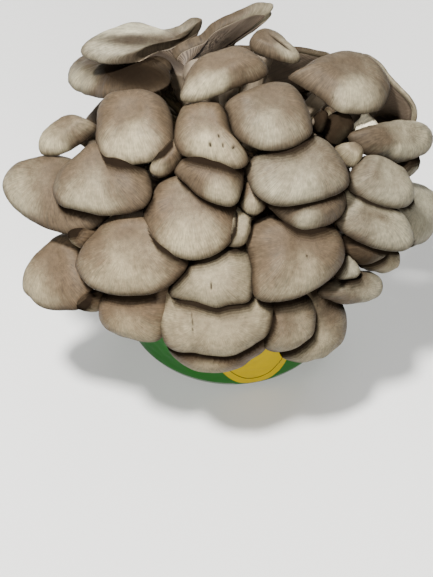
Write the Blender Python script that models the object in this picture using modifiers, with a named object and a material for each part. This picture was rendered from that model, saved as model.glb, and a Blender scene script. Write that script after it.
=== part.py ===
# Oyster mushroom grow bag: a printed round bag, the grown-through block in it and the cluster on top.
# Metres, +Z up. The bag stands on the origin, and the cluster hangs out furthest to the front, -Y.

import math

import bmesh
import bpy
import numpy as np

# Bag
BAG_RADIUS = 0.1005
BAG_HEIGHT = 0.140
FILM = 0.0012
BASE_CORNER = 0.012
CUFF_DROP = 0.020
CUFF_OUT = 0.0045
CUFF_ROLL = 0.004      # the film starts to turn outward this far below the mouth
HEM_STEP = 0.0008      # the wall under the cuff's hem stands out by this much
BAG_SIDES = 24
INNER_CORNER_STEPS = 2
OUTER_CORNER_STEPS = 3

# Block inside the bag, and the fused foot of the cluster that stands on it
BLOCK_TOP = 0.122
BLOCK_CHAMFER = 0.006
GAP = 0.0004
FOOT_CENTRE_Z = 0.166
FOOT_RADIUS = 0.084
FOOT_HEIGHT = 0.068
FOOT_SIDES = 16
FOOT_RINGS = 8
FOOT_LUMPS = 5         # lumps round the foot, and how far they stand out as a share of its radius
FOOT_LUMP = 0.03
FOOT_UNDERSIDE = 0.82  # the flat underside's radius as a share of the foot's

# The cluster's outside is a dome, and each cap lies on it
DOME_CENTRE = np.array([-0.012, 0.0, 0.160])
DOME_RADII = np.array([0.172, 0.165, 0.160])
FACE_UP = 0.55

# Places are measured square to a line of sight that looks down on the bag from the front
LOOK_DOWN = math.radians(50)
EYE_DISTANCE = 1.5
EYE_LEFT = 0.014
EYE_UP = 0.015
TOWARD = np.array([0.0, -math.cos(LOOK_DOWN), math.sin(LOOK_DOWN)])
RIGHT = np.array([1.0, 0.0, 0.0])
UPWARD = np.array([0.0, math.sin(LOOK_DOWN), math.cos(LOOK_DOWN)])
EYE = TOWARD * EYE_DISTANCE - RIGHT * EYE_LEFT + UPWARD * EYE_UP

# Cap and stem
MARGIN_THICK = 2.6     # mm of flesh at the margin
FLESH_POWER = 0.7      # how fast the flesh thins toward the margin
ARCH_POWER = 2.4       # how flat the arched top is in its middle
RIM_POWER = 2.2        # how soon the margin's ups and downs fade toward the middle
STEM_TUCK = 0.5        # the stem starts this many of its radii below the gills
STEM_BEND = 0.45       # how straight the stem leaves the cap before it bends to the foot
STEM_TOP = 1.15        # stem radius under the cap, and what it loses by its lower end
STEM_TAPER = 0.35
STEM_END = 0.93        # the stem ends at this share of the way out through the foot
STEM_LOWEST = -0.002   # a stem aims no lower than this below the foot's centre, clear of the bag
RINGS = [("top", 0.45), ("top", 0.82), ("margin", 1.0), ("under", 0.80),
         ("stem", 0.0), ("stem", 0.5), ("stem", 1.0)]
DROP = {"top": 0.0, "margin": 0.5, "under": 1.0}   # depth of each kind of ring below the top, in flesh

# Shape that all the mushrooms share, in mm and degrees, unless the list below says otherwise
USUAL = {
    "turn": 0,        # where the lip points in the view: 0 is down, positive to the right
    "deep": 0,        # how far the cap lies behind the dome, along the line of sight
    "lift": 0,        # raises the lip
    "roll": 0,        # raises the side to the left of the lip
    "bulge": 13,      # height of the arched top, less than 0 for a funnel
    "thick": 9,       # flesh above the stem
    "square": 2.3,    # 2 is an ellipse, more is squarer
    "fan": 0.08,      # widens the cap toward the lip
    "back": 0.35,     # how far behind the middle the stem joins, in half lengths
    "edge": (1,) * 8, # factors on the outline: lip, lip left, left, rear left, rear and so on round
    "rim": (0,) * 8,  # heights of the margin, in the same order
    "stem": 7,        # radius where the stem leaves the gills
    "aside": 0,       # turns the stem's lower end about the bag's axis, positive to the right
    "segments": 12,
    "behind": False,  # True on the far side of the dome, where turn is measured from straight down
    "face_to": None,  # where the cap doesn't face the way the dome does: right, up the view and toward the eye
}

# side and rise are mm to the right of the bag's middle and up the view; width and length are the cap's own mm
MUSHROOMS = {
    "top_left_wavy": dict(side=-86, rise=251, width=52, length=110, turn=-90, deep=13, bulge=2,
                          face_to=(0.0, 0.66, 0.75), back=0.6, rim=(0, 1, 6, 0, 20, 6, -1, 0), stem=9),
    "top_left_shaded": dict(side=-106, rise=222, width=52, length=84, turn=-82, deep=66, roll=-12, bulge=9,
                            back=0.15, edge=(1, 1, 1, 0.95, 0.8, 0.85, 1, 1)),
    "upper_left_square": dict(side=-91, rise=169, width=61, length=60, turn=-5, deep=-11, square=3),
    "left_small_tilted": dict(side=-154, rise=159, width=30, length=52, turn=-62),
    "far_left_large": dict(side=-173, rise=113, width=68, length=86, turn=-72, lift=14),
    "left_front_large": dict(side=-122, rise=119, width=81, length=62, turn=-15, deep=-10),
    "left_centre_large": dict(side=-92, rise=50, width=93, length=70, turn=-12, deep=0, segments=14),
    "centre_round": dict(side=-38, rise=88, width=74, length=76, turn=3, deep=3,
                         edge=(1, 1, 1, 0.86, 0.62, 0.84, 1, 1)),
    "centre_wedge": dict(side=-14, rise=122, width=50, length=50, turn=15, deep=-14, back=0.3, stem=6,
                         edge=(1, 1, 1, 0.85, 0.65, 0.8, 0.9, 1)),
    "centre_spotted": dict(side=-22, rise=159, width=54, length=58, turn=5, deep=-23, square=3,
                           edge=(1, 1, 1, 1, 0.95, 0.7, 0.64, 1.12)),
    "upper_centre": dict(side=-7, rise=217, width=72, length=48, turn=-22, deep=-40,
                         edge=(0.95, 1.05, 1, 1, 1, 1, 1, 0.85)),
    "upper_right_smooth": dict(side=35, rise=179, width=65, length=56, turn=12, deep=-27,
                               edge=(1, 1, 1, 0.85, 0.86, 1, 1, 1)),
    "right_centre_large": dict(side=64, rise=125, width=80, length=62, turn=-8, deep=-16, segments=14,
                               edge=(1, 1, 1, 1, 1.05, 1, 1, 1)),
    "right_centre_lip": dict(side=70, rise=93, width=64, length=46, turn=5, deep=-2),
    "right_lower_large": dict(side=61, rise=46, width=82, length=76, turn=0, deep=3, square=2.6, segments=14,
                              edge=(1, 1, 0.97, 1, 1, 1, 1, 1)),
    "right_long": dict(side=135, rise=81, width=42, length=84, turn=68, deep=-3),
    "right_upper_fan": dict(side=143, rise=116, width=58, length=50, turn=35, deep=-17),
    "far_right_shelf": dict(side=157, rise=157, width=44, length=86, turn=100, deep=-3, roll=-8),
    "far_right_round": dict(side=173, rise=86, width=66, length=70, turn=60, deep=18),
    "far_right_small": dict(side=163, rise=129, width=20, length=22, turn=60, deep=14, segments=8, stem=4),
    "top_right_large": dict(side=106, rise=210, width=86, length=58, turn=8, deep=-4, segments=14,
                            edge=(1, 1, 1.12, 1, 1, 1, 1, 1)),
    "top_right_edge": dict(side=144, rise=198, width=86, length=78, turn=130, deep=24, bulge=4,
                           face_to=(0.60, 0.55, -0.42)),
    "top_small_curled": dict(side=42, rise=245, width=34, length=44, turn=65, deep=-4, bulge=6, thick=11),
    "top_tall": dict(side=-4, rise=260, width=48, length=96, turn=112, deep=5, bulge=-6,
                     face_to=(-0.30, 0.72, -0.50), back=0.75, thick=14, edge=(1, 1, 1, 1, 0.82, 1, 1, 1), stem=10),
    "top_back_wide": dict(side=46, rise=226, width=70, length=104, turn=95, deep=98, bulge=-4, stem=10,
                          face_to=(0.15, 0.80, -0.45)),
    "lower_centre": dict(side=-22, rise=27, width=72, length=56, turn=0, deep=7),
    "bottom_centre_large": dict(side=-13, rise=-18, width=94, length=60, turn=0, deep=3, segments=14),
    "bottom_shaded": dict(side=-22, rise=-39, width=80, length=50, turn=-3, deep=4, aside=-16),
    "bottom_left": dict(side=-96, rise=-7, deep=4, width=55, length=54, turn=-10, edge=(1, 0.9, 1, 1, 1, 1, 1, 1)),
    "lower_left": dict(side=-168, rise=34, width=66, length=70, turn=-48, lift=20),
    "bottom_right_inner": dict(side=54, rise=-15, width=48, length=56, turn=8, deep=8),
    "bottom_right_outer": dict(side=75, rise=-23, width=64, length=56, turn=15, deep=13),
    "right_low_tilted": dict(side=117, rise=17, width=34, length=54, turn=80, deep=9),
    "right_low_grey": dict(side=110, rise=37, width=24, length=26, turn=40, deep=6, segments=8, stem=5),
    "right_low_dark": dict(side=129, rise=54, width=30, length=34, turn=65, deep=14, segments=10, stem=5),
    "right_low_brown": dict(side=140, rise=43, width=26, length=30, turn=60, deep=20, segments=8, stem=5),
    "left_gap_small": dict(side=-64, rise=134, width=18, length=28, turn=-55, deep=-1, segments=8, stem=4),
    "right_gap_small": dict(side=111, rise=140, width=19, length=20, turn=40, deep=2, segments=8, stem=4),
    "centre_gap_upper": dict(side=20, rise=101, width=20, length=30, turn=-5, deep=2, segments=8, stem=4),
    "centre_gap_lower": dict(side=10, rise=70, width=16, length=26, turn=-5, deep=8, segments=8, stem=4),
    "hollow_small": dict(side=83, rise=170, width=14, length=14, turn=20, deep=20, bulge=7, segments=8, stem=3),
    "hollow_dark": dict(side=100, rise=165, width=24, length=26, turn=10, deep=26, segments=8, stem=5),
    "left_low_small": dict(side=-132, rise=4, width=18, length=18, turn=-30, deep=2, bulge=8, segments=8, stem=3),
    "left_gap_brown": dict(side=-142, rise=61, width=16, length=18, turn=-40, deep=6, bulge=7, segments=8, stem=3),
    "back_top_left": dict(side=-50, rise=206, width=68, length=62, turn=-25, deep=-72, behind=True, segments=10),
    "back_top_right": dict(side=62, rise=200, width=66, length=60, turn=30, deep=-72, behind=True, segments=10),
    "back_left": dict(side=-116, rise=178, width=64, length=62, turn=-35, deep=-34, behind=True, segments=10),
    "back_middle": dict(side=0, rise=206, width=72, length=58, deep=-30, behind=True, segments=10),
    "back_right": dict(side=114, rise=176, width=62, length=58, turn=40, deep=-38, behind=True, segments=10),
    "back_upper_middle": dict(side=-4, rise=206, width=60, length=52, turn=-5, deep=-106, behind=True, segments=10),
}

COLLECTION = "oyster_mushroom_grow_bag"


def clear_scene():
    for thing in list(bpy.data.objects):
        bpy.data.objects.remove(thing, do_unlink=True)
    for group in list(bpy.data.collections):
        bpy.data.collections.remove(group)


def new_collection(name):
    group = bpy.data.collections.new(name)
    bpy.context.scene.collection.children.link(group)
    return group


def material(name, colour, roughness):
    made = bpy.data.materials.new(name)
    made.use_nodes = True
    shader = made.node_tree.nodes["Principled BSDF"]
    shader.inputs["Base Color"].default_value = (*colour, 1.0)
    shader.inputs["Roughness"].default_value = roughness
    shader.inputs["Metallic"].default_value = 0.0
    made.diffuse_color = (*colour, 1.0)
    return made


def add_object(name, mesh, group, finish):
    thing = bpy.data.objects.new(name, mesh)
    group.objects.link(thing)
    mesh.materials.append(finish)
    return thing


def turned(name, profile, sides, group, finish):
    """A profile of (radius, height) points turned about Z, from the inside of the bottom to the outside."""
    mesh = bpy.data.meshes.new(name)
    points = [(radius, 0.0, height) for radius, height in profile]
    mesh.from_pydata(points, [(i, i + 1) for i in range(len(points) - 1)], [])
    thing = add_object(name, mesh, group, finish)
    screw = thing.modifiers.new("turn", "SCREW")
    screw.axis = "Z"
    screw.steps = sides
    screw.render_steps = sides
    screw.use_merge_vertices = True
    screw.merge_threshold = 0.00005
    screw.use_smooth_shade = False
    return thing


def corner(radius, height, size, start, stop, steps):
    """Points of a rounded corner about (radius, height), with angles in degrees from straight out."""
    angles = [math.radians(start + (stop - start) * i / steps) for i in range(steps + 1)]
    return [(radius + size * math.cos(a), height + size * math.sin(a)) for a in angles]


def make_bag(group, finish):
    """Thin film with a flat base, a rounded lower edge and its top folded out and down as a cuff."""
    inner = BAG_RADIUS - FILM
    middle = BAG_RADIUS - BASE_CORNER
    hem = BAG_HEIGHT - CUFF_DROP
    profile = [(0.0, FILM)]
    profile += corner(middle, BASE_CORNER, BASE_CORNER - FILM, -90, 0, INNER_CORNER_STEPS)
    profile += [(inner, BAG_HEIGHT - CUFF_ROLL)]
    profile += corner(inner + CUFF_OUT / 2, BAG_HEIGHT, CUFF_OUT / 2 + FILM / 2, 170, 10, INNER_CORNER_STEPS)
    profile += [(BAG_RADIUS + CUFF_OUT, hem), (BAG_RADIUS + HEM_STEP, hem)]
    profile += corner(middle, BASE_CORNER, BASE_CORNER, 0, -90, OUTER_CORNER_STEPS)
    profile += [(0.0, 0.0)]
    return turned("bag", profile, BAG_SIDES, group, finish)


def make_block(group, finish):
    """The block of grown-through straw, which fills the bag up to just under its mouth."""
    wall = BAG_RADIUS - FILM - 2 * GAP
    middle = BAG_RADIUS - BASE_CORNER
    profile = [(0.0, BLOCK_TOP), (wall - BLOCK_CHAMFER, BLOCK_TOP), (wall, BLOCK_TOP - BLOCK_CHAMFER)]
    profile += corner(middle, BASE_CORNER, wall - middle, 0, -90, INNER_CORNER_STEPS)
    profile += [(0.0, BASE_CORNER - (wall - middle))]
    return turned("substrate_block", profile, BAG_SIDES, group, finish)


def shaped_sphere(name, segments, rings, place, group, finish):
    """A UV sphere whose ring k, counted from the top pole, is moved by place(k, cosine, sine)."""
    shape = bmesh.new()
    bmesh.ops.create_uvsphere(shape, u_segments=segments, v_segments=rings + 1, radius=1.0)
    for vertex in shape.verts:
        x, y, z = vertex.co
        ring = round(math.acos(max(-1.0, min(1.0, z))) / math.pi * (rings + 1))
        across = math.hypot(x, y)
        cosine, sine = (y / across, x / across) if across > 1e-6 else (1.0, 0.0)
        vertex.co = place(ring, cosine, sine)
    mesh = bpy.data.meshes.new(name)
    shape.to_mesh(mesh)
    shape.free()
    return add_object(name, mesh, group, finish)


def make_cluster_foot(name, swell, group, finish):
    """The knot of fused stem feet: a lumpy squat ball with a flat underside on the block."""
    bottom = BLOCK_TOP + GAP - swell

    def place(ring, cosine, sine):
        if ring == FOOT_RINGS + 1:
            return (0.0, 0.0, bottom)
        slope = math.pi * ring / (FOOT_RINGS + 2)
        lump = 1.0 + FOOT_LUMP * math.sin(FOOT_LUMPS * math.atan2(sine, cosine)) * math.sin(slope) ** 2
        reach = (FOOT_RADIUS * lump + swell) * math.sin(slope)
        height = FOOT_CENTRE_Z + (FOOT_HEIGHT + swell) * math.cos(slope)
        if ring == FOOT_RINGS:
            height = bottom
            reach = FOOT_RADIUS * FOOT_UNDERSIDE + swell
        return (reach * sine, reach * cosine, max(height, bottom))

    return shaped_sphere(name, FOOT_SIDES, FOOT_RINGS, place, group, finish)


def unit(vector):
    return vector / np.linalg.norm(vector)


def dome_place(side, rise, deep, behind):
    """Where the line of sight through (side, rise) enters or leaves the dome, or passes nearest to it."""
    sight = unit(RIGHT * side + UPWARD * rise - EYE)
    across = sight / DOME_RADII
    start = (EYE - DOME_CENTRE) / DOME_RADII
    square = across @ across
    half = across @ start
    inside = half * half - square * (start @ start - 1.0)
    side_of_dome = 1.0 if behind else -1.0
    reach = (-half + side_of_dome * math.sqrt(max(inside, 0.0))) / square
    place = EYE + sight * (reach + deep)
    return place, unit((place - DOME_CENTRE) / DOME_RADII ** 2)


def turned_axes(first, second, degrees):
    angle = math.radians(degrees)
    return (first * math.cos(angle) + second * math.sin(angle),
            second * math.cos(angle) - first * math.sin(angle))


def cap_axes(outward, shape):
    """Across, lip and face directions of a cap that lies on the dome and looks up a little."""
    face = unit(outward + np.array([0.0, 0.0, FACE_UP]))
    if shape["face_to"]:
        face = unit(np.array(shape["face_to"]) @ np.array([RIGHT, UPWARD, TOWARD]))
    angle = math.radians(shape["turn"])
    down = np.array([0.0, 0.0, -1.0]) if shape["behind"] else -UPWARD
    lip = RIGHT * math.sin(angle) + down * math.cos(angle)
    lip = unit(lip - face * (lip @ face))
    across = np.cross(lip, face)
    lip, face = turned_axes(lip, face, shape["lift"])
    across, face = turned_axes(across, face, shape["roll"])
    return across, lip, face


def around(values, angle):
    """Smooth closed curve through eight values, the first at the lip and the third at its left."""
    waves = np.fft.rfft(values) / len(values)
    total = waves[0].real
    for order in range(1, len(waves)):
        share = 1.0 if order == len(values) // 2 else 2.0
        total += share * (waves[order] * complex(math.cos(order * angle), math.sin(order * angle))).real
    return total


def cap_point(shape, ratio, cosine, sine):
    """Point of the cap's top at the given share of the way from above the stem to the margin."""
    angle = math.atan2(sine, cosine)
    power = shape["square"]
    round_off = (abs(cosine) ** power + abs(sine) ** power) ** (-1.0 / power)
    reach = round_off * around(shape["edge"], angle)
    along = reach * cosine
    beside = reach * sine * (1.0 + shape["fan"] * along)
    x = ratio * beside
    y = ratio * along - (1.0 - ratio) * shape["back"]
    arch = shape["bulge"] * (1.0 - ratio ** ARCH_POWER)
    z = arch + around(shape["rim"], angle) * ratio ** RIM_POWER
    return np.array([x * shape["width"] / 2, y * shape["length"] / 2, z]) / 1000.0


def flesh(shape, ratio):
    """Thickness of the cap, thin at the margin."""
    return (MARGIN_THICK + (shape["thick"] - MARGIN_THICK) * (1.0 - ratio) ** FLESH_POWER) / 1000.0


def stem_path(start, face, foot, share):
    """Point and direction on a curve that leaves the gills square to the cap and bends to the foot."""
    control = start - face * STEM_BEND * np.linalg.norm(foot - start)
    point = start * (1 - share) ** 2 + control * 2 * share * (1 - share) + foot * share ** 2
    direction = (control - start) * (1 - share) + (foot - control) * share
    return point, unit(direction)


def foot_of(start, aside):
    """Where a stem ends, a little way into the cluster's foot and above the mouth of the bag."""
    middle = np.array([0.0, 0.0, FOOT_CENTRE_Z])
    angle = math.atan2(start[1], start[0]) + math.radians(aside)
    reach = math.hypot(start[0], start[1])
    way = np.array([reach * math.cos(angle), reach * math.sin(angle), start[2] - FOOT_CENTRE_Z])
    way[2] = max(way[2], STEM_LOWEST)
    radii = np.array([FOOT_RADIUS, FOOT_RADIUS, FOOT_HEIGHT])
    return middle + way / np.linalg.norm(way / radii) * STEM_END


def make_mushroom(name, shape, group, finish):
    """One mushroom: cap, gilled underside and stem in one closed skin."""
    place, up = dome_place(shape["side"] / 1000, shape["rise"] / 1000, shape["deep"] / 1000, shape["behind"])
    across, lip, face = cap_axes(up, shape)
    axes = np.array([across, lip, face])
    stem = shape["stem"] / 1000
    join = cap_point(shape, 0.0, 1.0, 0.0) - np.array([0.0, 0.0, flesh(shape, 0.0) + STEM_TUCK * stem])
    start = place + join @ axes
    foot = foot_of(start, shape["aside"])

    def stem_point(share, radius, cosine, sine):
        point, direction = stem_path(start, face, foot, share)
        outward = across * sine + lip * cosine
        bend = (outward @ direction) / (1.0 - face @ direction)
        return point + radius * (outward - bend * (direction - face))

    def locate(ring, cosine, sine):
        if ring == 0:
            return place + cap_point(shape, 0.0, 1.0, 0.0) @ axes
        if ring == len(RINGS) + 1:
            return stem_point(1.0, 0.0, 1.0, 0.0)
        kind, value = RINGS[ring - 1]
        if kind == "stem":
            return stem_point(value, stem * (STEM_TOP - STEM_TAPER * value), cosine, sine)
        point = cap_point(shape, value, cosine, sine)
        point[2] -= DROP[kind] * flesh(shape, value)
        return place + point @ axes

    return shaped_sphere(name, shape["segments"], len(RINGS), locate, group, finish)


def cut_with(thing, cutter):
    cut = thing.modifiers.new("clear of " + cutter.name, "BOOLEAN")
    cut.operation = "DIFFERENCE"
    cut.solver = "EXACT"
    cut.object = cutter


def main():
    clear_scene()
    parts = new_collection(COLLECTION)
    cutters = new_collection("cutters")
    film = material("printed_film", (0.02, 0.15, 0.024), 0.35)
    straw = material("substrate", (0.50, 0.42, 0.30), 0.9)
    foot_skin = material("fused_foot", (0.62, 0.56, 0.46), 0.7)
    skin = material("mushroom", (0.42, 0.37, 0.30), 0.6)
    make_bag(parts, film)
    make_block(parts, straw)
    make_cluster_foot("cluster_foot", 0.0, parts, foot_skin)
    cutter = make_cluster_foot("cluster_foot_space", GAP, cutters, foot_skin)
    cutter.hide_render = True
    cutter.display_type = "WIRE"
    for name, own in MUSHROOMS.items():
        mushroom = make_mushroom("mushroom_" + name, {**USUAL, **own}, parts, skin)
        cut_with(mushroom, cutter)


main()
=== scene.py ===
# Oyster mushroom grow bag: a printed film bag, the grown-through straw in it and the shingled cluster on top.
import math

import bpy
import numpy as np
from mathutils import Matrix


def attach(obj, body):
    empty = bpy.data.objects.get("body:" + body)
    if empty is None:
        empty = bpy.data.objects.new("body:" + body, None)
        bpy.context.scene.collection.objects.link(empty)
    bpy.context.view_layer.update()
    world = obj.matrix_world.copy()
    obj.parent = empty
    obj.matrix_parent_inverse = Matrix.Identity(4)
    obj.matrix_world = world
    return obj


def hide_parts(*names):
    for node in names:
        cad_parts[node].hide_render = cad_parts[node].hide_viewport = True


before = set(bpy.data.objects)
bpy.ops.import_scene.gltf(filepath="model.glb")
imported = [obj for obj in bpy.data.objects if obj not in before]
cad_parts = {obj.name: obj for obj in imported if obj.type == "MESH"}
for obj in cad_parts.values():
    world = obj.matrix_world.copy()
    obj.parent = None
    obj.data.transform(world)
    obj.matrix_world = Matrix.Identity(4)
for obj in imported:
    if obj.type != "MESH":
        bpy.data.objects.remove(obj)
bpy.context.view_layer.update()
print("frame loaded with", len(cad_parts), "nodes")

# The line of sight: places of mushrooms are given square to it, in mm right of and above the bag's middle.
sight = {"lookDown": 50, "distance": 1.5, "left": 0.014, "up": 0.015, "focalPixels": 1579, "imageWidth": 433,
         "sensor": 36.0}
lookDown = math.radians(sight["lookDown"])
right = np.array([1.0, 0.0, 0.0])
upward = np.array([0.0, math.sin(lookDown), math.cos(lookDown)])
toward = np.array([0.0, -math.cos(lookDown), math.sin(lookDown)])
eye = toward * sight["distance"] - right * sight["left"] + upward * sight["up"]


def unit(vectors):
    # each vector divided by its length
    return vectors / np.linalg.norm(vectors, axis=-1, keepdims=True)


def smooth(low, high, value):
    # 0 below low, 1 above high, and an S curve of t*t*(3-2t) between them
    t = np.clip((value - low) / (high - low), 0.0, 1.0)
    return t * t * (3.0 - 2.0 * t)


def quadratic(first, middle, last, t):
    # points of the curve first (1-t)^2 + 2 middle t (1-t) + last t^2
    return first * (1 - t) ** 2 + middle * 2 * t * (1 - t) + last * t ** 2


def waves(seed, count, lowest, highest, *coordinates):
    # sum of sine waves whose directions, lengths and phases are drawn from a seed, scaled to about -1..1
    draw = np.random.default_rng(seed)
    total = 0.0
    for _ in range(count):
        way = draw.normal(size=len(coordinates))
        way *= draw.uniform(lowest, highest) / np.linalg.norm(way)
        total = total + np.sin(sum(w * c for w, c in zip(way, coordinates)) + draw.uniform(0, 2 * math.pi))
    return total / math.sqrt(count / 2.0) / 1.6


# Meshes
def gridMesh(name, rings, firstPole, lastPole, attributes=None, materials=(), materialOfRing=None):
    # quads between neighbouring rings of a (ring, step, xyz) grid that closes round each ring, and a fan of
    # triangles from the first and the last ring to a pole point
    count, steps = rings.shape[:2]
    points = rings.reshape(-1, 3)
    index = np.arange(count * steps).reshape(count, steps)
    beyond = np.roll(index, -1, axis=1)
    quads = np.stack([index[:-1], beyond[:-1], beyond[1:], index[1:]], -1)
    ringOfQuad = np.repeat(np.arange(len(quads)), steps)
    points = np.vstack([points, firstPole, lastPole])
    firstFan = np.stack([np.full(steps, count * steps), beyond[0], index[0]], -1)
    lastFan = np.stack([index[-1], beyond[-1], np.full(steps, count * steps + 1)], -1)
    loops = np.concatenate([quads.reshape(-1), firstFan.reshape(-1), lastFan.reshape(-1)])
    sizes = np.concatenate([np.full(len(ringOfQuad), 4), np.full(2 * steps, 3)])
    slots = np.concatenate([ringOfQuad, np.zeros(steps, int), np.full(steps, count - 1)])
    piece = meshPiece(name, points, loops, sizes, attributes, materials)
    if materialOfRing is not None:
        choice = np.asarray(materialOfRing)[np.minimum(slots, len(materialOfRing) - 1)]
        piece.data.polygons.foreach_set("material_index", choice.astype(np.int32))
    return piece


def meshPiece(name, points, loops, sizes, attributes=None, materials=()):
    # mesh from flat arrays of corners, smooth shaded, with float or vector attributes on its points
    mesh = bpy.data.meshes.new(name)
    mesh.vertices.add(len(points))
    mesh.vertices.foreach_set("co", np.ascontiguousarray(points, dtype=np.float32).ravel())
    mesh.loops.add(len(loops))
    mesh.loops.foreach_set("vertex_index", loops.astype(np.int32))
    mesh.polygons.add(len(sizes))
    mesh.polygons.foreach_set("loop_start", (np.cumsum(sizes) - sizes).astype(np.int32))
    mesh.polygons.foreach_set("loop_total", sizes.astype(np.int32))
    mesh.polygons.foreach_set("use_smooth", np.ones(len(sizes), dtype=bool))
    mesh.update(calc_edges=True)
    for key, values in (attributes or {}).items():
        made = mesh.attributes.new(key, "FLOAT_VECTOR", "POINT")
        made.data.foreach_set("vector", np.ascontiguousarray(values, dtype=np.float32).ravel())
    for finish in materials:
        mesh.materials.append(finish)
    piece = bpy.data.objects.new(name, mesh)
    bpy.context.scene.collection.objects.link(piece)
    return piece


def tubeFaces(count, rings, steps, mirrored=False):
    # corners and sizes of the faces of many closed tubes: quads between rings, and a flat end on each
    index = np.arange(count * rings * steps).reshape(count, rings, steps)
    beyond = np.roll(index, -1, axis=2)
    quads = np.stack([index[:, :-1], beyond[:, :-1], beyond[:, 1:], index[:, 1:]], -1)
    first, last = index[:, 0, ::-1], index[:, -1]
    if mirrored:
        quads, first, last = quads[..., [0, 3, 2, 1]], first[:, ::-1], last[:, ::-1]
    sizes = np.concatenate([np.full(quads.size // 4, 4), np.full(2 * count, steps)])
    return np.concatenate([quads.reshape(-1), first.reshape(-1), last.reshape(-1)]), sizes


# Materials
def newFinish(name):
    # an empty material with its Principled shader; returns the tree that add() works on
    finish = bpy.data.materials.new(name)
    finish.use_nodes = True
    return finish, finish.node_tree, finish.node_tree.nodes["Principled BSDF"]


def connect(tree, node, inputs):
    # each input takes another node's output, or a number, vector or colour of its own
    for key, value in inputs.items():
        socket = node.inputs[key]
        if isinstance(value, bpy.types.NodeSocket):
            tree.links.new(value, socket)
        else:
            socket.default_value = (*value, 1.0) if socket.type == "RGBA" else value


def add(tree, kind, inputs=None, output=0, **settings):
    # one node; inputs are numbers or other nodes' sockets, and the wanted output socket is returned
    node = tree.nodes.new("ShaderNode" + kind)
    for key, value in settings.items():
        setattr(node, key, value)
    connect(tree, node, inputs or {})
    return node.outputs[output]


def noise(tree, place, scale, detail=3.0, roughness=0.5, distortion=0.0):
    return add(tree, "TexNoise", {"Vector": place, "Scale": scale, "Detail": detail, "Roughness": roughness,
                                  "Distortion": distortion})


def ramp(tree, value, low, high, toLow=0.0, toHigh=1.0, kind="SMOOTHSTEP"):
    return add(tree, "MapRange", {"Value": value, "From Min": low, "From Max": high, "To Min": toLow,
                                  "To Max": toHigh}, interpolation_type=kind)


def maths(tree, operation, first, second=0.0, third=0.0):
    return add(tree, "Math", {0: first, 1: second, 2: third}, operation=operation)


def mixColour(tree, share, first, second, blend="MIX"):
    node = tree.nodes.new("ShaderNodeMix")
    node.data_type, node.blend_type, node.clamp_factor = "RGBA", blend, True
    connect(tree, node, {0: share, 6: first, 7: second})
    return node.outputs[2]


def shaded(tree, colour, shade):
    # a colour multiplied by one number
    grey = add(tree, "CombineColor", {0: shade, 1: shade, 2: shade})
    return mixColour(tree, 1.0, colour, grey, "MULTIPLY")


def threeOf(tree, place):
    # x, y and z of a vector
    parts = tree.nodes.new("ShaderNodeSeparateXYZ")
    connect(tree, parts, {0: place})
    return parts.outputs


def dress(tree, shader, height, strength, distance, **inputs):
    # the shader's inputs, with _ for a space in their names, and a bump from a height
    inputs["Normal"] = add(tree, "Bump", {"Height": height, "Strength": strength, "Distance": distance})
    connect(tree, shader, {key.replace("_", " "): value for key, value in inputs.items()})


capLooks = {
    "palePlain": (0.38, 0.352, 0.25), "paleWarm": (0.41, 0.34, 0.20), "paintedLitCream": (0.82, 0.74, 0.54),
    "brownPlain": (0.080, 0.061, 0.040), "brownWarm": (0.098, 0.065, 0.036),
    # the colour that painted shade mixes toward: the dark rim, slits, shadows of caps above and dark patches;
    # darkest is how far it goes
    "paintedShadeColour": (0.011, 0.0075, 0.005),
    "roughLow": 0.55, "roughHigh": 0.75, "shine": 0.24, "darkest": 0.98,
    "bump": 0.35, "bumpHeight": 0.0005, "fleckHeight": 0.35,
}


def makeCapSkin(name, palePlain, paleWarm):
    # zones: x brown of the crown, partly the cap's own brown and partly painted shade; y painted shade of the
    # rim, of slits, of caps above and of dark patches; z warmth; streak: round the cap, and out along it
    finish, tree, shader = newFinish(name)
    crown, dark, warm = threeOf(tree, add(tree, "Attribute", output=1, attribute_name="zones"))
    streak = add(tree, "Attribute", output=1, attribute_name="streak")
    place = add(tree, "TexCoord", output=3)
    fibres = noise(tree, streak, 1.0, 4.0, 0.62)
    fineFibres = noise(tree, streak, 2.7, 2.0, 0.5)
    blotches = noise(tree, place, 46.0, 4.0, 0.6)
    flecks = noise(tree, place, 260.0, 3.0, 0.6)
    broken = maths(tree, "ADD", maths(tree, "SUBTRACT", blotches, 0.5), crown)
    broken = maths(tree, "MULTIPLY_ADD", maths(tree, "SUBTRACT", fibres, 0.5), 0.85, broken)
    brownShare = ramp(tree, broken, -0.35, 1.05)
    pale = mixColour(tree, warm, palePlain, paleWarm)
    brown = mixColour(tree, warm, capLooks["brownPlain"], capLooks["brownWarm"])
    colour = mixColour(tree, brownShare, pale, brown)
    shade = ramp(tree, fibres, 0.30, 0.72, 0.72, 1.24, "LINEAR")
    shade = maths(tree, "MULTIPLY", shade, ramp(tree, fineFibres, 0.3, 0.7, 0.72, 1.26, "LINEAR"))
    shade = maths(tree, "MULTIPLY", shade, ramp(tree, flecks, 0.25, 0.75, 0.74, 1.24, "LINEAR"))
    # painted shade: the colour goes toward the shade colour as far as the zones' y says
    darkShare = ramp(tree, dark, 0.0, 1.0, 0.0, capLooks["darkest"], "LINEAR")
    colour = mixColour(tree, darkShare, shaded(tree, colour, shade), capLooks["paintedShadeColour"])
    rough = ramp(tree, fibres, 0.3, 0.7, capLooks["roughLow"], capLooks["roughHigh"])
    # no shine where shade is painted
    shine = ramp(tree, dark, 0.0, 0.9, capLooks["shine"], 0.0, "LINEAR")
    height = maths(tree, "ADD", fibres, maths(tree, "MULTIPLY", flecks, capLooks["fleckHeight"]))
    dress(tree, shader, height, capLooks["bump"], capLooks["bumpHeight"], Base_Color=colour, Roughness=rough,
          Specular_IOR_Level=shine)
    return finish


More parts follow.
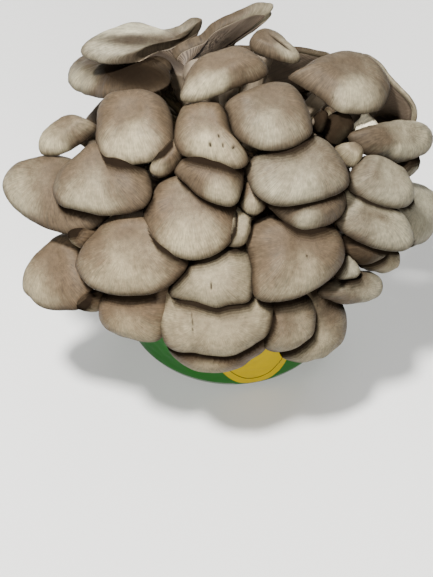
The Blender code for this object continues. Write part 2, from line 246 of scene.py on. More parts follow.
gillLooks = {
    # valley is painted shade in the slots between the gills
    "slotShade": (0.040, 0.028, 0.019), "ridge": (0.20, 0.15, 0.105), "stem": (0.26, 0.205, 0.14),
    "roughness": 0.62, "bump": 0.4, "bumpHeight": 0.0006, "patchHeight": 0.5,
    "dullRidge": 0.78, "dullStem": 0.72,
}


def makeGillFlesh():
    # zones: x from the margin (0) down to the stem's end (1), y top of a gill (1) or the slot beside it (0),
    # whose darker colour is painted shade between the gills
    finish, tree, shader = newFinish("gills and stem")
    down, gill, _ = threeOf(tree, add(tree, "Attribute", output=1, attribute_name="zones"))
    streak = add(tree, "Attribute", output=1, attribute_name="streak")
    place = add(tree, "TexCoord", output=3)
    fibres = noise(tree, streak, 1.0, 4.0, 0.6)
    blotches = noise(tree, place, 70.0, 4.0, 0.55)
    dullRidge = tuple(value * gillLooks["dullRidge"] for value in gillLooks["ridge"])
    dullStem = tuple(value * gillLooks["dullStem"] for value in gillLooks["stem"])
    ridge = mixColour(tree, blotches, gillLooks["ridge"], dullRidge)
    colour = mixColour(tree, ramp(tree, gill, 0.05, 0.95, kind="LINEAR"), gillLooks["slotShade"], ridge)
    stemColour = mixColour(tree, ramp(tree, blotches, 0.35, 0.7), gillLooks["stem"], dullStem)
    colour = mixColour(tree, ramp(tree, down, 0.34, 0.62), colour, stemColour)
    colour = shaded(tree, colour, ramp(tree, fibres, 0.28, 0.72, 0.78, 1.15, "LINEAR"))
    height = maths(tree, "ADD", fibres, maths(tree, "MULTIPLY", blotches, gillLooks["patchHeight"]))
    dress(tree, shader, height, gillLooks["bump"], gillLooks["bumpHeight"], Base_Color=colour,
          Roughness=gillLooks["roughness"])
    return finish


capSkin = makeCapSkin("cap skin", capLooks["palePlain"], capLooks["paleWarm"])
# a paler skin that stands in for lit flesh in a shaded hollow: painted light
makeCapSkin("paintedLitCream flesh", capLooks["paintedLitCream"], capLooks["paintedLitCream"])
gillFlesh = makeGillFlesh()
print("mushroom finishes made")

# The dome that the caps lie on, and the fused foot that the stems run to
dome = {"centre": np.array([-0.012, 0.0, 0.160]), "radii": np.array([0.172, 0.165, 0.160]), "faceUp": 0.55}
foot = {"centreZ": 0.166, "radius": 0.084, "height": 0.068, "lumps": 5, "lump": 0.03, "bottom": 0.1224,
        "stemEnd": 0.93, "stemLowest": -0.002}

usual = {
    "turn": 0,          # where the lip points in the view: 0 is down, positive to the right
    "deep": 0,          # how far the cap lies behind the dome, along the line of sight
    "lift": 0,          # raises the lip
    "roll": 0,          # raises the side to the left of the lip
    "bulge": 13,        # height of the arched top, less than 0 for a funnel
    "thick": 9,         # flesh above the stem
    "margin": 5.2,      # flesh at the margin
    "rimShadePaint": 0.75,    # how dark the painted shade along the rim is
    "back": 0.35,       # how far behind the middle the stem joins, in half lengths
    "stem": 7,          # radius where the stem leaves the gills
    "aside": 0,         # turns the stem's lower end about the bag's axis
    "behind": False,    # True on the far side of the dome
    "warm": 0.5,        # 0 is greyer, 1 is more beige
    "crown": 0.8,       # strength of the brown middle, partly the cap's own brown and partly painted shade
    "wave": 0.7,        # unevenness of the top and margin, mm
    "curl": 3.6,        # how far the margin bends down, mm
    "dimple": 1.5,      # hollow above the stem, mm
    "fine": False,      # more faces where gills or slits show
    "marks": (),        # slits, pressed in and darkened as painted shade: side, rise, half width and half length in mm, turn in degrees, depth in mm
    "shadowPaintReach": 1.0,  # how much further than usual the painted shadow of a cap above reaches
    "skin": "cap skin",  # the finish of the top
    "solid": True,      # False where the CAD has no node of its own for it
    "tintsAndPaintedShading": (),        # browner (or below 0 paler) patches, partly the cap's own tone and partly painted shade and painted light: side, rise, half width and length, turn, amount
    "paintedShades": (),       # painted shade: dark patches with flat middles, in the same way
    "folds": (),        # broad ridges: place across and toward the lip, half width and length, turn, height
    "faceTo": (),       # the way the top faces where it leaves the dome's: right, up and toward the eye
}

# In these rows the browner and paler patches, the dark patches, the reach of the darkening under caps above
# and a high crown paint shade and light into the caps' colour, where a cap lies in shadow or in the light.
mushrooms = {
    # painted shade in a band below its ridge, and painted light on its far lobe
    "top_left_wavy": dict(side=-86, rise=251, width=54, length=104, turn=-90, deep=13,
        faceTo=(0.0, 0.66, 0.75), bulge=2, thick=28, back=0.6, stem=9, fine=True, crown=0.75, warm=0.05,
        rimShadePaint=0.12, folds=((2, 10, 7, 30, 0, 5),), tintsAndPaintedShading=((-95, 262, 40, 4.5, 0, -0.9),
        (-100, 251, 34, 5, 2, 0.5)), paintedShades=((-94, 251, 40, 6, -3, 0.62), (-150, 236, 20, 9, 0, 0.15))),
    # its dark patch, long darkening reach and high crown paint the shadow of the wavy cap above it
    "top_left_shaded": dict(side=-106, rise=222, width=52, length=84, turn=-82, deep=66, roll=-12, bulge=9,
        back=0.15, crown=1.2, shadowPaintReach=2.2, tintsAndPaintedShading=((-150, 212, 9, 14, 0, -0.9),),
        paintedShades=((-92, 219, 50, 18, -10, 1.0),)),
    "upper_left_square": dict(side=-91, rise=169, width=61, length=60, turn=-5, deep=-11, crown=0.9,
        warm=0.6),
    # its paler lower lip is painted light
    "left_small_tilted": dict(side=-154, rise=159, width=30, length=52, turn=-62, crown=0.55, warm=0.55,
        tintsAndPaintedShading=((-162, 147, 20, 6, -25, -0.7),)),
    "far_left_large": dict(side=-173, rise=113, width=68, length=86, turn=-72, lift=14, crown=0.95),
    "left_front_large": dict(side=-122, rise=119, width=81, length=62, turn=-15, deep=-10, crown=0.95),
    "left_centre_large": dict(side=-92, rise=50, width=93, length=70, turn=-12, warm=0.75),
    "centre_round": dict(side=-38, rise=88, width=74, length=76, turn=3, deep=3, warm=0.7),
    "centre_wedge": dict(side=-14, rise=122, width=50, length=50, turn=15, deep=-14, crown=1.15, warm=0.6),
    "centre_spotted": dict(side=-22, rise=159, width=54, length=58, turn=5, deep=-23, fine=True, warm=0.65,
        marks=((-20, 152, 1.5, 2.6, 12, 1.2), (-8, 151, 1.0, 2.4, 10, 1.0), (2, 149, 1.3, 1.7, -30, 0.9),
        (-12, 160, 0.9, 1.8, 15, 0.5))),
    "upper_centre": dict(side=-7, rise=217, width=72, length=48, turn=-22, deep=-40,
        tintsAndPaintedShading=((2, 230, 28, 8, 12, 0.5), (-10, 207, 40, 6, 14, -0.35))),
    "upper_right_smooth": dict(side=35, rise=179, width=65, length=56, turn=12, deep=-27, crown=0.9,
        warm=0.35),
    "right_centre_large": dict(side=64, rise=125, width=80, length=62, turn=-8, deep=-16, crown=0.6,
        warm=0.25),
    "right_centre_lip": dict(side=70, rise=93, width=64, length=46, turn=5, deep=-2, crown=1.3, warm=0.3,
        shadowPaintReach=0.6),
    "right_lower_large": dict(side=61, rise=46, width=82, length=76, deep=3, fine=True, crown=0.85,
        warm=0.6, marks=((72, 46, 1.0, 1.3, 0, 0.6),)),
    # its browner patch is painted shade under the fan above
    "right_long": dict(side=135, rise=81, width=42, length=84, turn=68, deep=-3, crown=0.35, warm=0.2,
        shadowPaintReach=0.5, tintsAndPaintedShading=((140, 84, 14, 6, -30, 0.6),)),
    "right_upper_fan": dict(side=143, rise=116, width=58, length=50, turn=35, deep=-17, crown=0.4,
        warm=0.15),
    # browner and dark patches at its left are painted shade, its paler lower edge painted light
    "far_right_shelf": dict(side=156, rise=157, width=38, length=84, turn=100, deep=-3, roll=-8, crown=0.35,
        warm=0.3, shadowPaintReach=0.7, tintsAndPaintedShading=((165, 146, 20, 6, 5, -0.7), (130, 160, 22, 9, -15, 0.8)),
        paintedShades=((124, 158, 15, 11, 0, 0.3),)),
    "far_right_round": dict(side=171, rise=86, width=56, length=56, turn=60, deep=16, crown=0.0, warm=0.1,
        shadowPaintReach=0.5),
    "far_right_small": dict(side=163, rise=129, width=20, length=22, turn=60, deep=14, stem=4, warm=0.3,
        shadowPaintReach=1.2),
    "top_right_large": dict(side=106, rise=210, width=86, length=58, turn=8, deep=-4, fine=True, warm=0.35,
        tintsAndPaintedShading=((80, 215, 18, 12, 0, 0.3),), marks=((97, 198, 1.0, 2.0, 15, 0.8),)),
    "top_right_edge": dict(side=144, rise=198, width=86, length=78, turn=130, deep=24,
        faceTo=(0.60, 0.55, -0.42), bulge=4, margin=4, fine=True, crown=0.3, warm=0.3, rimShadePaint=0.1),
    "top_small_curled": dict(side=42, rise=245, width=34, length=44, turn=65, deep=-4, bulge=6, thick=11,
        fine=True, crown=0.85, warm=0.3, marks=((47, 249, 1.1, 12.0, 53, 1.6),)),
    "top_tall": dict(side=-4, rise=260, width=48, length=96, turn=112, deep=5, faceTo=(-0.30, 0.72, -0.50),
        bulge=-6, thick=14, margin=8, back=0.75, stem=10, fine=True, crown=0.6, warm=0.3, rimShadePaint=0.35),
    "top_back_wide": dict(side=46, rise=226, width=70, length=104, turn=95, deep=98,
        faceTo=(0.15, 0.80, -0.45), bulge=-4, stem=12, fine=True),
    "lower_centre": dict(side=-22, rise=27, width=72, length=56, deep=7, fine=True, crown=0.35,
        warm=0.6, marks=((-19, 17, 0.7, 3.4, 3, 0.8),)),
    "bottom_centre_large": dict(side=-13, rise=-18, width=94, length=60, deep=3, fine=True,
        crown=0.3, warm=0.7, marks=((-37, -18, 0.6, 10.0, 4, 0.8),)),
    # its high crown and warmth are partly painted shade under the large cap above
    "bottom_shaded": dict(side=-22, rise=-39, width=80, length=50, turn=-3, deep=4, aside=-16, crown=1.2,
        warm=0.9, shadowPaintReach=0.7),
    "bottom_left": dict(side=-96, rise=-7, width=55, length=54, turn=-10, deep=4, crown=0.9, warm=0.9),
    "lower_left": dict(side=-168, rise=34, width=66, length=70, turn=-48, lift=20, crown=0.95, warm=0.75),
    "bottom_right_inner": dict(side=54, rise=-15, width=48, length=56, turn=8, deep=8, warm=0.6),
    "bottom_right_outer": dict(side=75, rise=-23, width=64, length=56, turn=15, deep=13, crown=0.7,
        warm=0.6),
    "right_low_tilted": dict(side=117, rise=17, width=34, length=54, turn=80, deep=9, crown=0.65, warm=0.2),
    "right_low_grey": dict(side=110, rise=37, width=24, length=26, turn=40, deep=6, bulge=3, stem=5,
        crown=0.3, warm=0.1),
    # its high crown and dark patch are painted shade
    "right_low_dark": dict(side=129, rise=54, width=30, length=34, turn=65, deep=14, stem=5, crown=1.1,
        warm=0.6, paintedShades=((128, 54, 40, 40, 0, 0.65),)),
    "right_low_brown": dict(side=140, rise=43, width=26, length=30, turn=60, deep=20, stem=5, crown=0.6,
        warm=0.6, shadowPaintReach=0.6),
    "left_gap_small": dict(side=-61, rise=137, width=18, length=28, turn=-55, deep=-1, stem=4, crown=0.65,
        warm=0.7, shadowPaintReach=0.3),
    "right_gap_small": dict(side=111, rise=140, width=19, length=20, turn=40, deep=2, stem=4, crown=0.5,
        warm=0.6, shadowPaintReach=0.3),
    "centre_gap_upper": dict(side=20, rise=101, width=20, length=30, turn=-5, deep=2, stem=4, crown=1.1,
        warm=0.6),
    "centre_gap_lower": dict(side=10, rise=70, width=16, length=26, turn=-5, deep=8, stem=4, crown=0.4,
        warm=0.6, shadowPaintReach=0.3),
    # a high crown and a dark patch over all of it: painted shade in the hollow
    "hollow_small": dict(side=83, rise=170, width=14, length=14, turn=20, deep=20, stem=4, crown=1.6,
        warm=0.6, paintedShades=((83, 170, 40, 40, 0, 0.92),)),
    # pale cream skin and a paler crown: painted light on flesh that lies in the hollow's shade
    "hollow_pale": dict(side=127, rise=169, width=14, length=30, turn=100, deep=12,
        faceTo=(-0.25, 0.50, 0.80), bulge=1, thick=5, margin=3, stem=4, crown=-0.6, warm=0.9, rimShadePaint=0.2,
        shadowPaintReach=0.0, skin="paintedLitCream flesh", solid=False),
    # a high crown and a dark patch over all of it: painted shade in the hollow
    "hollow_dark": dict(side=100, rise=165, width=24, length=26, turn=10, deep=26, stem=5, crown=1.7,
        warm=0.6, paintedShades=((98, 166, 40, 40, 0, 0.9),)),
    "left_low_small": dict(side=-132, rise=4, width=18, length=18, turn=-30, deep=2, stem=4,
        warm=0.9),
    "left_gap_brown": dict(side=-142, rise=61, width=16, length=18, turn=-40, deep=6, stem=4, crown=0.9,
        warm=0.9),
    "back_top_left": dict(side=-50, rise=206, width=68, length=62, turn=-25, deep=-72, behind=True),
    "back_top_right": dict(side=62, rise=200, width=66, length=60, turn=30, deep=-72, behind=True,
        warm=0.3),
    "back_left": dict(side=-116, rise=178, width=64, length=62, turn=-35, deep=-34, behind=True, warm=0.6),
    "back_middle": dict(side=0, rise=206, width=72, length=58, deep=-30, behind=True, warm=0.6),
    "back_right": dict(side=114, rise=176, width=62, length=58, turn=40, deep=-38, behind=True, warm=0.35),
    "back_upper_middle": dict(side=-4, rise=206, width=60, length=52, turn=-5, deep=-106, behind=True),
}

# Margins as the line of sight shows them, side and rise in mm; a smooth closed curve runs through the points.
outlines = {
    "top_left_wavy": ((-143, 241, 0), (-137, 237, 0), (-122, 233, 0), (-108, 232, 0), (-95, 234, 0),
        (-84, 239, -1), (-72, 244, 0), (-58, 248, 2), (-47, 255, 8), (-38, 262, 15), (-30, 268, 21),
        (-27, 271, 22), (-37, 272.5, 18), (-50, 263, 6), (-62, 258, -4), (-72, 259, 2), (-85, 265, 6),
        (-100, 267, 7), (-114, 262, 6), (-128, 255, 3), (-139, 248, 1)),
    "top_right_edge": ((126, 238), (137, 232), (149, 218), (162, 206), (171, 196), (176, 184), (176, 172),
        (168, 160), (152, 154), (138, 164), (128, 182), (120, 205), (118, 228)),
    "top_tall": ((-27, 256), (-16, 266), (0, 275), (14, 282), (26, 286), (34, 286), (39, 283), (38, 278),
        (29, 273), (16, 266), (7, 257), (2, 248), (-6, 241), (-20, 240), (-35, 240), (-45, 238), (-55, 236),
        (-52, 244), (-42, 249)),
    "top_back_wide": ((0, 244), (20, 245.5), (40, 246), (60, 244), (80, 241.5), (94, 238), (100, 230),
        (96, 215), (80, 205), (50, 200), (20, 204), (-5, 215), (-10, 232)),
    "top_left_shaded": ((-155, 215), (-152, 207), (-143, 202), (-130, 198), (-115, 196), (-98, 196),
        (-80, 200), (-62, 208), (-58, 222), (-74, 232), (-98, 238), (-124, 237), (-142, 231), (-152, 224)),
    "upper_left_square": ((-128, 152), (-121, 138), (-108, 134), (-90, 133), (-76, 136), (-64, 142),
        (-56, 151), (-55, 168), (-58, 184), (-66, 197), (-80, 202), (-100, 201), (-117, 197), (-125, 188),
        (-128, 170)),
    "left_small_tilted": ((-183, 148), (-180, 142), (-170, 141), (-158, 144), (-146, 151), (-136, 159),
        (-127, 168), (-133, 173), (-144, 177), (-153, 175), (-163, 169), (-173, 162), (-181, 155)),
    "far_left_large": ((-217, 112), (-214, 122), (-207, 130), (-195, 135), (-180, 139), (-163, 140),
        (-146, 136), (-126, 124), (-115, 105), (-113, 88), (-124, 76), (-140, 69), (-155, 67), (-170, 70),
        (-186, 77), (-200, 86), (-211, 97)),
    "left_front_large": ((-170, 109), (-168, 100), (-161, 93), (-149, 90), (-136, 87), (-122, 84),
        (-107, 85), (-92, 88), (-82, 93), (-76, 103), (-76, 116), (-82, 130), (-94, 144), (-112, 154),
        (-130, 153), (-144, 142), (-155, 133), (-165, 122)),
    "left_centre_large": ((-148, 36), (-145, 48), (-140, 57), (-130, 68), (-118, 80), (-100, 88), (-80, 88),
        (-62, 78), (-48, 60), (-40, 43), (-43, 33), (-51, 24), (-61, 16), (-74, 10), (-90, 8), (-106, 8),
        (-121, 11), (-133, 16), (-142, 25)),
    "centre_round": ((-84, 88), (-80, 96), (-75, 105), (-68, 115), (-57, 121), (-40, 122), (-20, 116),
        (-4, 107), (4, 97), (6, 84), (5, 70), (1, 61), (-6, 53), (-15, 47), (-27, 43), (-40, 42), (-52, 45),
        (-64, 51), (-73, 59), (-80, 71)),
    "centre_wedge": ((-54, 125), (-51, 132), (-43, 140), (-28, 147), (-6, 147), (9, 139), (12, 122),
        (10, 107), (6, 97), (0, 93), (-10, 94), (-20, 97), (-31, 103), (-41, 112), (-49, 119)),
    "centre_spotted": ((-54, 165), (-51, 178), (-46, 188), (-36, 191), (-20, 190), (-9, 188), (-4, 179),
        (-1, 167), (3, 157), (9, 149), (16, 140), (15, 134), (10, 130), (0, 129), (-12, 133), (-25, 136),
        (-38, 139), (-47, 142), (-53, 150)),
    "upper_centre": ((-48, 195), (-46, 207), (-42, 219), (-36, 227), (-22, 233), (-8, 237), (8, 240),
        (18, 238), (27, 232), (34, 224), (35, 219), (28, 214), (14, 209), (0, 204), (-14, 198), (-28, 194),
        (-42, 192)),
    "upper_right_smooth": ((-6, 189), (-3, 180), (0, 169), (3, 161), (9, 154), (20, 149), (34, 146),
        (46, 146), (58, 149), (69, 155), (77, 162), (77, 172), (73, 185), (67, 197), (57, 206), (44, 209),
        (28, 206), (10, 199)),
    "right_centre_large": ((14, 129), (15, 119), (19, 109), (26, 101), (36, 95), (50, 93), (64, 94),
        (78, 97), (92, 101), (104, 106), (111, 112), (112, 121), (108, 133), (98, 147), (86, 157),
        (70, 162), (52, 158), (34, 149), (20, 139)),
    "right_centre_lip": ((34, 95), (40, 88), (50, 79), (61, 72), (74, 70), (86, 73), (97, 78), (105, 85),
        (109, 95), (108, 106), (98, 114), (80, 117), (60, 114), (44, 107)),
    "right_lower_large": ((14, 57), (17, 46), (20, 34), (20, 18), (22, 8), (30, 3), (42, 2), (56, 4),
        (68, 8), (80, 14), (92, 22), (101, 31), (107, 42), (108, 52), (105, 63), (98, 74), (85, 83),
        (62, 87), (38, 85), (22, 78), (16, 68)),
    "right_long": ((102, 112), (98, 98), (98, 83), (104, 71), (114, 63), (126, 57), (140, 52), (153, 50),
        (165, 51), (173, 57), (173, 66), (168, 77), (160, 86), (148, 91), (134, 97), (120, 102)),
    "right_upper_fan": ((111, 110), (111, 118), (114, 127), (119, 136), (126, 141), (135, 140), (144, 135),
        (154, 129), (163, 124), (168, 115), (172, 107), (173, 99), (169, 94), (160, 91), (148, 92),
        (136, 95), (124, 100), (116, 105)),
    "far_right_shelf": ((111, 161), (120, 166), (132, 169), (145, 172), (160, 173), (173, 172), (184, 168),
        (190, 161), (191, 153), (187, 145), (178, 140), (166, 136), (155, 135), (145, 138), (130, 141),
        (118, 149)),
    "far_right_round": ((142, 98), (152, 111), (167, 117), (180, 111), (188, 104), (191, 95), (192, 84),
        (191, 73), (187, 63), (176, 56), (161, 55), (147, 63), (140, 80)),
    "far_right_small": ((171, 138), (174, 131), (174, 125), (169, 121), (162, 119), (155, 124), (154, 132),
        (162, 138)),
    "top_right_large": ((54, 215), (62, 220), (72, 227), (84, 232), (98, 235), (112, 235), (124, 232),
        (136, 225), (146, 216), (151, 206), (149, 195), (143, 186), (132, 182), (118, 181), (105, 182),
        (96, 187), (88, 194), (78, 201), (66, 208)),
    "top_small_curled": ((17, 248), (19, 254), (24, 258), (32, 259), (41, 256), (49, 251), (56, 244),
        (62, 239), (66, 234), (61, 230), (51, 231), (42, 234), (32, 237), (24, 240), (19, 243)),
    "lower_centre": ((-58, 8), (-60, 14), (-54, 22), (-46, 31), (-38, 42), (-22, 51), (-4, 57), (10, 57),
        (16, 50), (20, 38), (21, 22), (20, 8), (16, 2), (7, 0), (-3, -1), (-14, -4), (-24, -2), (-36, 2),
        (-50, 5)),
    "bottom_centre_large": ((-67, -2), (-68, -15), (-66, -29), (-62, -39), (-52, -45), (-38, -46),
        (-28, -48), (-16, -49), (-4, -49.5), (5, -48), (14, -43.5), (24, -37), (33, -30.5), (38.5, -21),
        (41, -8), (38, 3), (26, 11), (4, 16), (-25, 19), (-50, 19), (-65, 14)),
    "bottom_shaded": ((-64, -28), (-60, -42), (-51, -53), (-40, -60), (-26, -64), (-12, -65), (2, -62),
        (12, -58), (20, -52), (30, -46), (36, -36), (35, -22), (18, -10), (-14, -6), (-48, -9), (-61, -17)),
    "bottom_left": ((-126, -5), (-125, -14), (-119, -23), (-108, -29), (-95, -33), (-82, -36), (-72, -36),
        (-66, -32), (-60, -20), (-53, -2), (-52, 16), (-72, 26), (-100, 21), (-116, 15), (-124, 6)),
    "lower_left": ((-198, 18), (-196, 28), (-190, 38), (-180, 49), (-170, 58), (-160, 66), (-147, 68),
        (-137, 60), (-131, 46), (-129, 28), (-131, 12), (-137, 1), (-145, -5), (-158, -6), (-172, -5),
        (-184, -1), (-191, 6), (-197, 12)),
    "bottom_right_inner": ((28, -30), (31, -41), (38, -45), (50, -45), (60, -42), (70, -35), (77, -28),
        (80, -16), (80, -3), (75, 7), (60, 12), (42, 10), (31, 0), (27, -14)),
    "bottom_right_outer": ((48, -50), (58, -54), (68, -55), (78, -52), (88, -50), (97, -43), (105, -34),
        (109, -22), (109, -10), (104, 4), (95, 22), (78, 26), (58, 12), (48, -16), (44, -34)),
    "right_low_tilted": ((83, 10), (88, 18), (97, 24), (110, 29), (124, 32), (135, 30), (141, 25),
        (143, 17), (140, 9), (131, 4), (119, 1), (106, 0), (94, 4)),
    "right_low_grey": ((97, 29), (100, 40), (108, 48), (115, 43), (121, 36), (123, 31), (120, 26),
        (112, 24), (103, 24)),
    "right_low_dark": ((105, 60), (107, 51), (113, 43), (122, 38), (134, 39), (144, 44), (150, 51),
        (148, 60), (136, 68), (120, 71), (108, 69)),
    "right_low_brown": ((121, 38), (128, 33), (138, 31), (150, 31), (155, 34), (156, 42), (155, 50),
        (148, 57), (134, 58), (123, 50)),
    "left_gap_small": ((-78, 128), (-76, 123), (-69, 120.5), (-60, 123), (-53, 128), (-45, 138), (-44, 148),
        (-52, 156), (-62, 152), (-69, 143), (-75, 134)),
    "right_gap_small": ((97, 148), (104, 151), (113, 151), (120, 147), (124, 140), (121, 133), (115, 130),
        (109, 131), (102, 137)),
    "centre_gap_upper": ((14, 118), (10, 110), (8, 100), (8, 94), (12, 88), (20, 84), (27, 86), (33, 92),
        (35, 99), (32, 108), (24, 116)),
    "centre_gap_lower": ((-9, 56), (0, 54), (8, 54), (14, 58), (17, 65), (19, 75), (19, 83), (12, 90),
        (0, 92), (-9, 84), (-13, 70)),
    "hollow_small": ((76, 171), (78, 165), (83, 162), (88, 165), (90, 171), (88, 178), (81, 179)),
    "hollow_pale": ((108, 163), (115, 170), (122, 177), (127, 183), (133, 179), (140, 172), (148, 166),
        (144, 158), (126, 155), (112, 157)),
    "hollow_dark": ((87, 161), (92, 153), (98, 150), (108, 152), (114, 159), (113, 171), (104, 179),
        (95, 180), (88, 175)),
    "left_low_small": ((-143, -4), (-138, -6), (-127, -7), (-120, -2), (-119, 7), (-126, 13), (-136, 11),
        (-142, 4)),
    "left_gap_brown": ((-150, 60), (-143, 53), (-134, 53), (-127, 60), (-125, 71), (-132, 78), (-144, 77),
        (-151, 69)),
}

profile = {
    "squareness": 2.3, "fan": 0.08, "fleshPower": 0.7, "drop": 0.93, "archPower": 3.3, "rimPower": 2.2,
    "curlFrom": 0.66, "curlTo": 1.08, "dimpleReach": 0.32, "fineWave": 0.22,
    "stemTuck": 0.5, "stemBend": 0.45, "stemTop": 1.15, "stemTaper": 0.35, "stemFlare": 0.35,
    "roundWidth": 4.6, "ringCrowding": 1.35, "gillHeight": 1.5, "gillPull": 0.34, "stemLines": 0.0002,
}


def domePlace(side, rise, deep, behind):
    # where the line of sight through (side, rise) meets the dome: the quadratic of a line and an ellipsoid
    line = unit(right * side + upward * rise - eye)
    across, start = line / dome["radii"], (eye - dome["centre"]) / dome["radii"]
    square, half = across @ across, across @ start
    inside = max(half * half - square * (start @ start - 1.0), 0.0)
    reach = (-half + (1.0 if behind else -1.0) * math.sqrt(inside)) / square
    place = eye + line * (reach + deep)
    return place, unit((place - dome["centre"]) / dome["radii"] ** 2)


def turnedAxes(first, second, degrees):
    # two square axes turned in their own plane
    c, s = math.cos(math.radians(degrees)), math.sin(math.radians(degrees))
    return first * c + second * s, second * c - first * s


def capAxes(outward, shape):
    # across, lip and face directions of a cap that lies on the dome and looks up a little
    face = unit(outward + np.array([0.0, 0.0, dome["faceUp"]]))
    if shape["faceTo"]:
        face = unit(np.array(shape["faceTo"]) @ np.array([right, upward, toward]))
    angle = math.radians(shape["turn"])
    down = np.array([0.0, 0.0, -1.0]) if shape["behind"] else -upward
    lip = right * math.sin(angle) + down * math.cos(angle)
    lip = unit(lip - face * (lip @ face))
    across = np.cross(lip, face)
    lip, face = turnedAxes(lip, face, shape["lift"])
    across, face = turnedAxes(across, face, shape["roll"])
    return np.array([across, lip, face])


def sizeShare(shape):
    # small caps have smaller hollows and waves
    return min(1.0, shape["width"] / 60.0)


def marginKnots(outline, shape, place, axes):
    # where the outline's lines of sight meet the margin's middle in the cap's own frame, as angles from the
    # lip, reaches in mm and heights; a point's third value is its height
    spots = np.array([(*spot, 0.0)[:3] for spot in outline])
    line = unit(right * spots[:, :1] / 1000.0 + upward * spots[:, 1:2] / 1000.0 - eye)
    drop = sizeShare(shape) * shape["curl"] * profile["drop"] + flesh(shape, 1.0) / 2.0
    along = ((place - eye) @ axes[2] + (spots[:, 2] - drop) / 1000.0) / (line @ axes[2])
    local = (eye + line * along[:, None] - place) @ axes.T * 1000.0
    angle = np.arctan2(local[:, 0], local[:, 1])
    order = np.argsort(angle)
    return angle[order], np.hypot(local[:, 0], local[:, 1])[order], spots[order, 2]


def through(turns, reaches, angle):
    # closed smooth curve through polar points: cubic pieces, each slope taken from the points on either side
    turns = np.concatenate([turns[-2:] - 2 * math.pi, turns, turns[:2] + 2 * math.pi])
    reaches = np.concatenate([reaches[-2:], reaches, reaches[:2]])
    slopes = (reaches[2:] - reaches[:-2]) / (turns[2:] - turns[:-2])
    steepest = 1.6 * np.abs(reaches).max()
    slopes = np.clip(slopes, -steepest, steepest)
    turns, reaches = turns[1:-1], reaches[1:-1]
    value = np.mod(angle - turns[1], 2 * math.pi) + turns[1]
    low = np.clip(np.searchsorted(turns, value, side="right") - 1, 0, len(turns) - 2)
    step = turns[low + 1] - turns[low]
    t = (value - turns[low]) / step
    ends = reaches[low] * (2 * t ** 3 - 3 * t ** 2 + 1) + reaches[low + 1] * (3 * t ** 2 - 2 * t ** 3)
    return ends + step * (slopes[low] * (t ** 3 - 2 * t ** 2 + t) + slopes[low + 1] * (t ** 3 - t ** 2))


def turnedPlace(x, y, patch):
    # places in the frame of a patch of (x, y, half width, half length, turn, amount), in its half sizes
    middleX, middleY, across, up, turn = patch[:5]
    c, s = math.cos(math.radians(turn)), math.sin(math.radians(turn))
    return ((x - middleX) * c + (y - middleY) * s) / across, ((y - middleY) * c - (x - middleX) * s) / up


def capTop(shape, ratio, angle, seed):
    # top of a cap, mm: its outline, or else a rounded one, shrunk toward the stem's place, an arch of
    # 1 - ratio^3.3, the margin's ups and downs, a bent-down margin, a hollow over the stem, broad folds and
    # gentle uneven waves
    cosine, sine = np.cos(angle), np.sin(angle)
    scallop = waves(seed, 5, 3.0, 9.0, cosine, sine)
    uneven = 1.0 + shape["wave"] * 0.5 * scallop * 2.0 / (shape["width"] + shape["length"])
    if shape["knots"]:
        turns, reaches, heights = shape["knots"]
        reach = through(turns, reaches, angle) * uneven
        margin = through(turns, heights, angle)
        along, beside = reach * cosine, reach * sine
    else:
        power = profile["squareness"]
        reach = (np.abs(cosine) ** power + np.abs(sine) ** power) ** (-1.0 / power) * uneven
        along = reach * cosine * shape["length"] / 2.0
        beside = reach * sine * (1.0 + profile["fan"] * reach * cosine) * shape["width"] / 2.0
        margin = 0.0
    x = ratio * beside
    y = ratio * along - (1.0 - ratio) * shape["back"] * shape["length"] / 2.0
    z = shape["bulge"] * (1.0 - ratio ** profile["archPower"])
    z = z + margin * ratio ** profile["rimPower"]
    for fold in shape["folds"]:
        u, v = turnedPlace(x, y, fold)
        z = z + fold[5] * np.exp(-u ** 2 - v ** 2)
    size = sizeShare(shape)
    z = z - size * shape["curl"] * smooth(profile["curlFrom"], profile["curlTo"], ratio)
    z = z - size * shape["dimple"] * np.exp(-(ratio / profile["dimpleReach"]) ** 2)
    z = z + size * shape["wave"] * waves(seed + 1, 7, 0.10, 0.30, x, y) * smooth(0.0, 0.25, ratio)
    fineWaves = waves(seed + 2, 8, 6.0, 16.0, cosine, sine)
    z = z + size * profile["fineWave"] * shape["wave"] * fineWaves * ratio ** 1.5
    return np.stack([x, y, z], -1)


def flesh(shape, ratio):
    # thickness from the stem's place to the margin, mm: thin + (thick - thin) (1 - ratio)^0.7
    thin = shape["margin"] * min(1.0, shape["width"] / 40.0 + 0.3)
    return thin + (shape["thick"] - thin) * (1.0 - ratio) ** profile["fleshPower"]


def footOf(start, aside):
    # where a stem ends: a little way into the fused foot, in the direction of its own start
    angle = math.atan2(start[1], start[0]) + math.radians(aside)
    reach = math.hypot(start[0], start[1])
    lowest = max(start[2] - foot["centreZ"], foot["stemLowest"])
    way = np.array([reach * math.cos(angle), reach * math.sin(angle), lowest])
    radii = np.array([foot["radius"], foot["radius"], foot["height"]])
    return np.array([0.0, 0.0, foot["centreZ"]]) + way / np.linalg.norm(way / radii) * foot["stemEnd"]


def inView(points):
    # side and rise in mm of points, on the plane through the bag's middle that is square to the sight line
    way = points - eye
    reach = -(eye @ toward) / (way @ toward)
    seen = eye + way * reach[..., None]
    return seen @ right * 1000.0, seen @ upward * 1000.0


# steps round, and rings on the top, the rounded margin, the gills and the stem
fineness = {"fine": (288, 44, 10, 20, 16), "usual": (144, 24, 8, 14, 12), "small": (72, 14, 6, 8, 8),
            "smallWidth": 27}


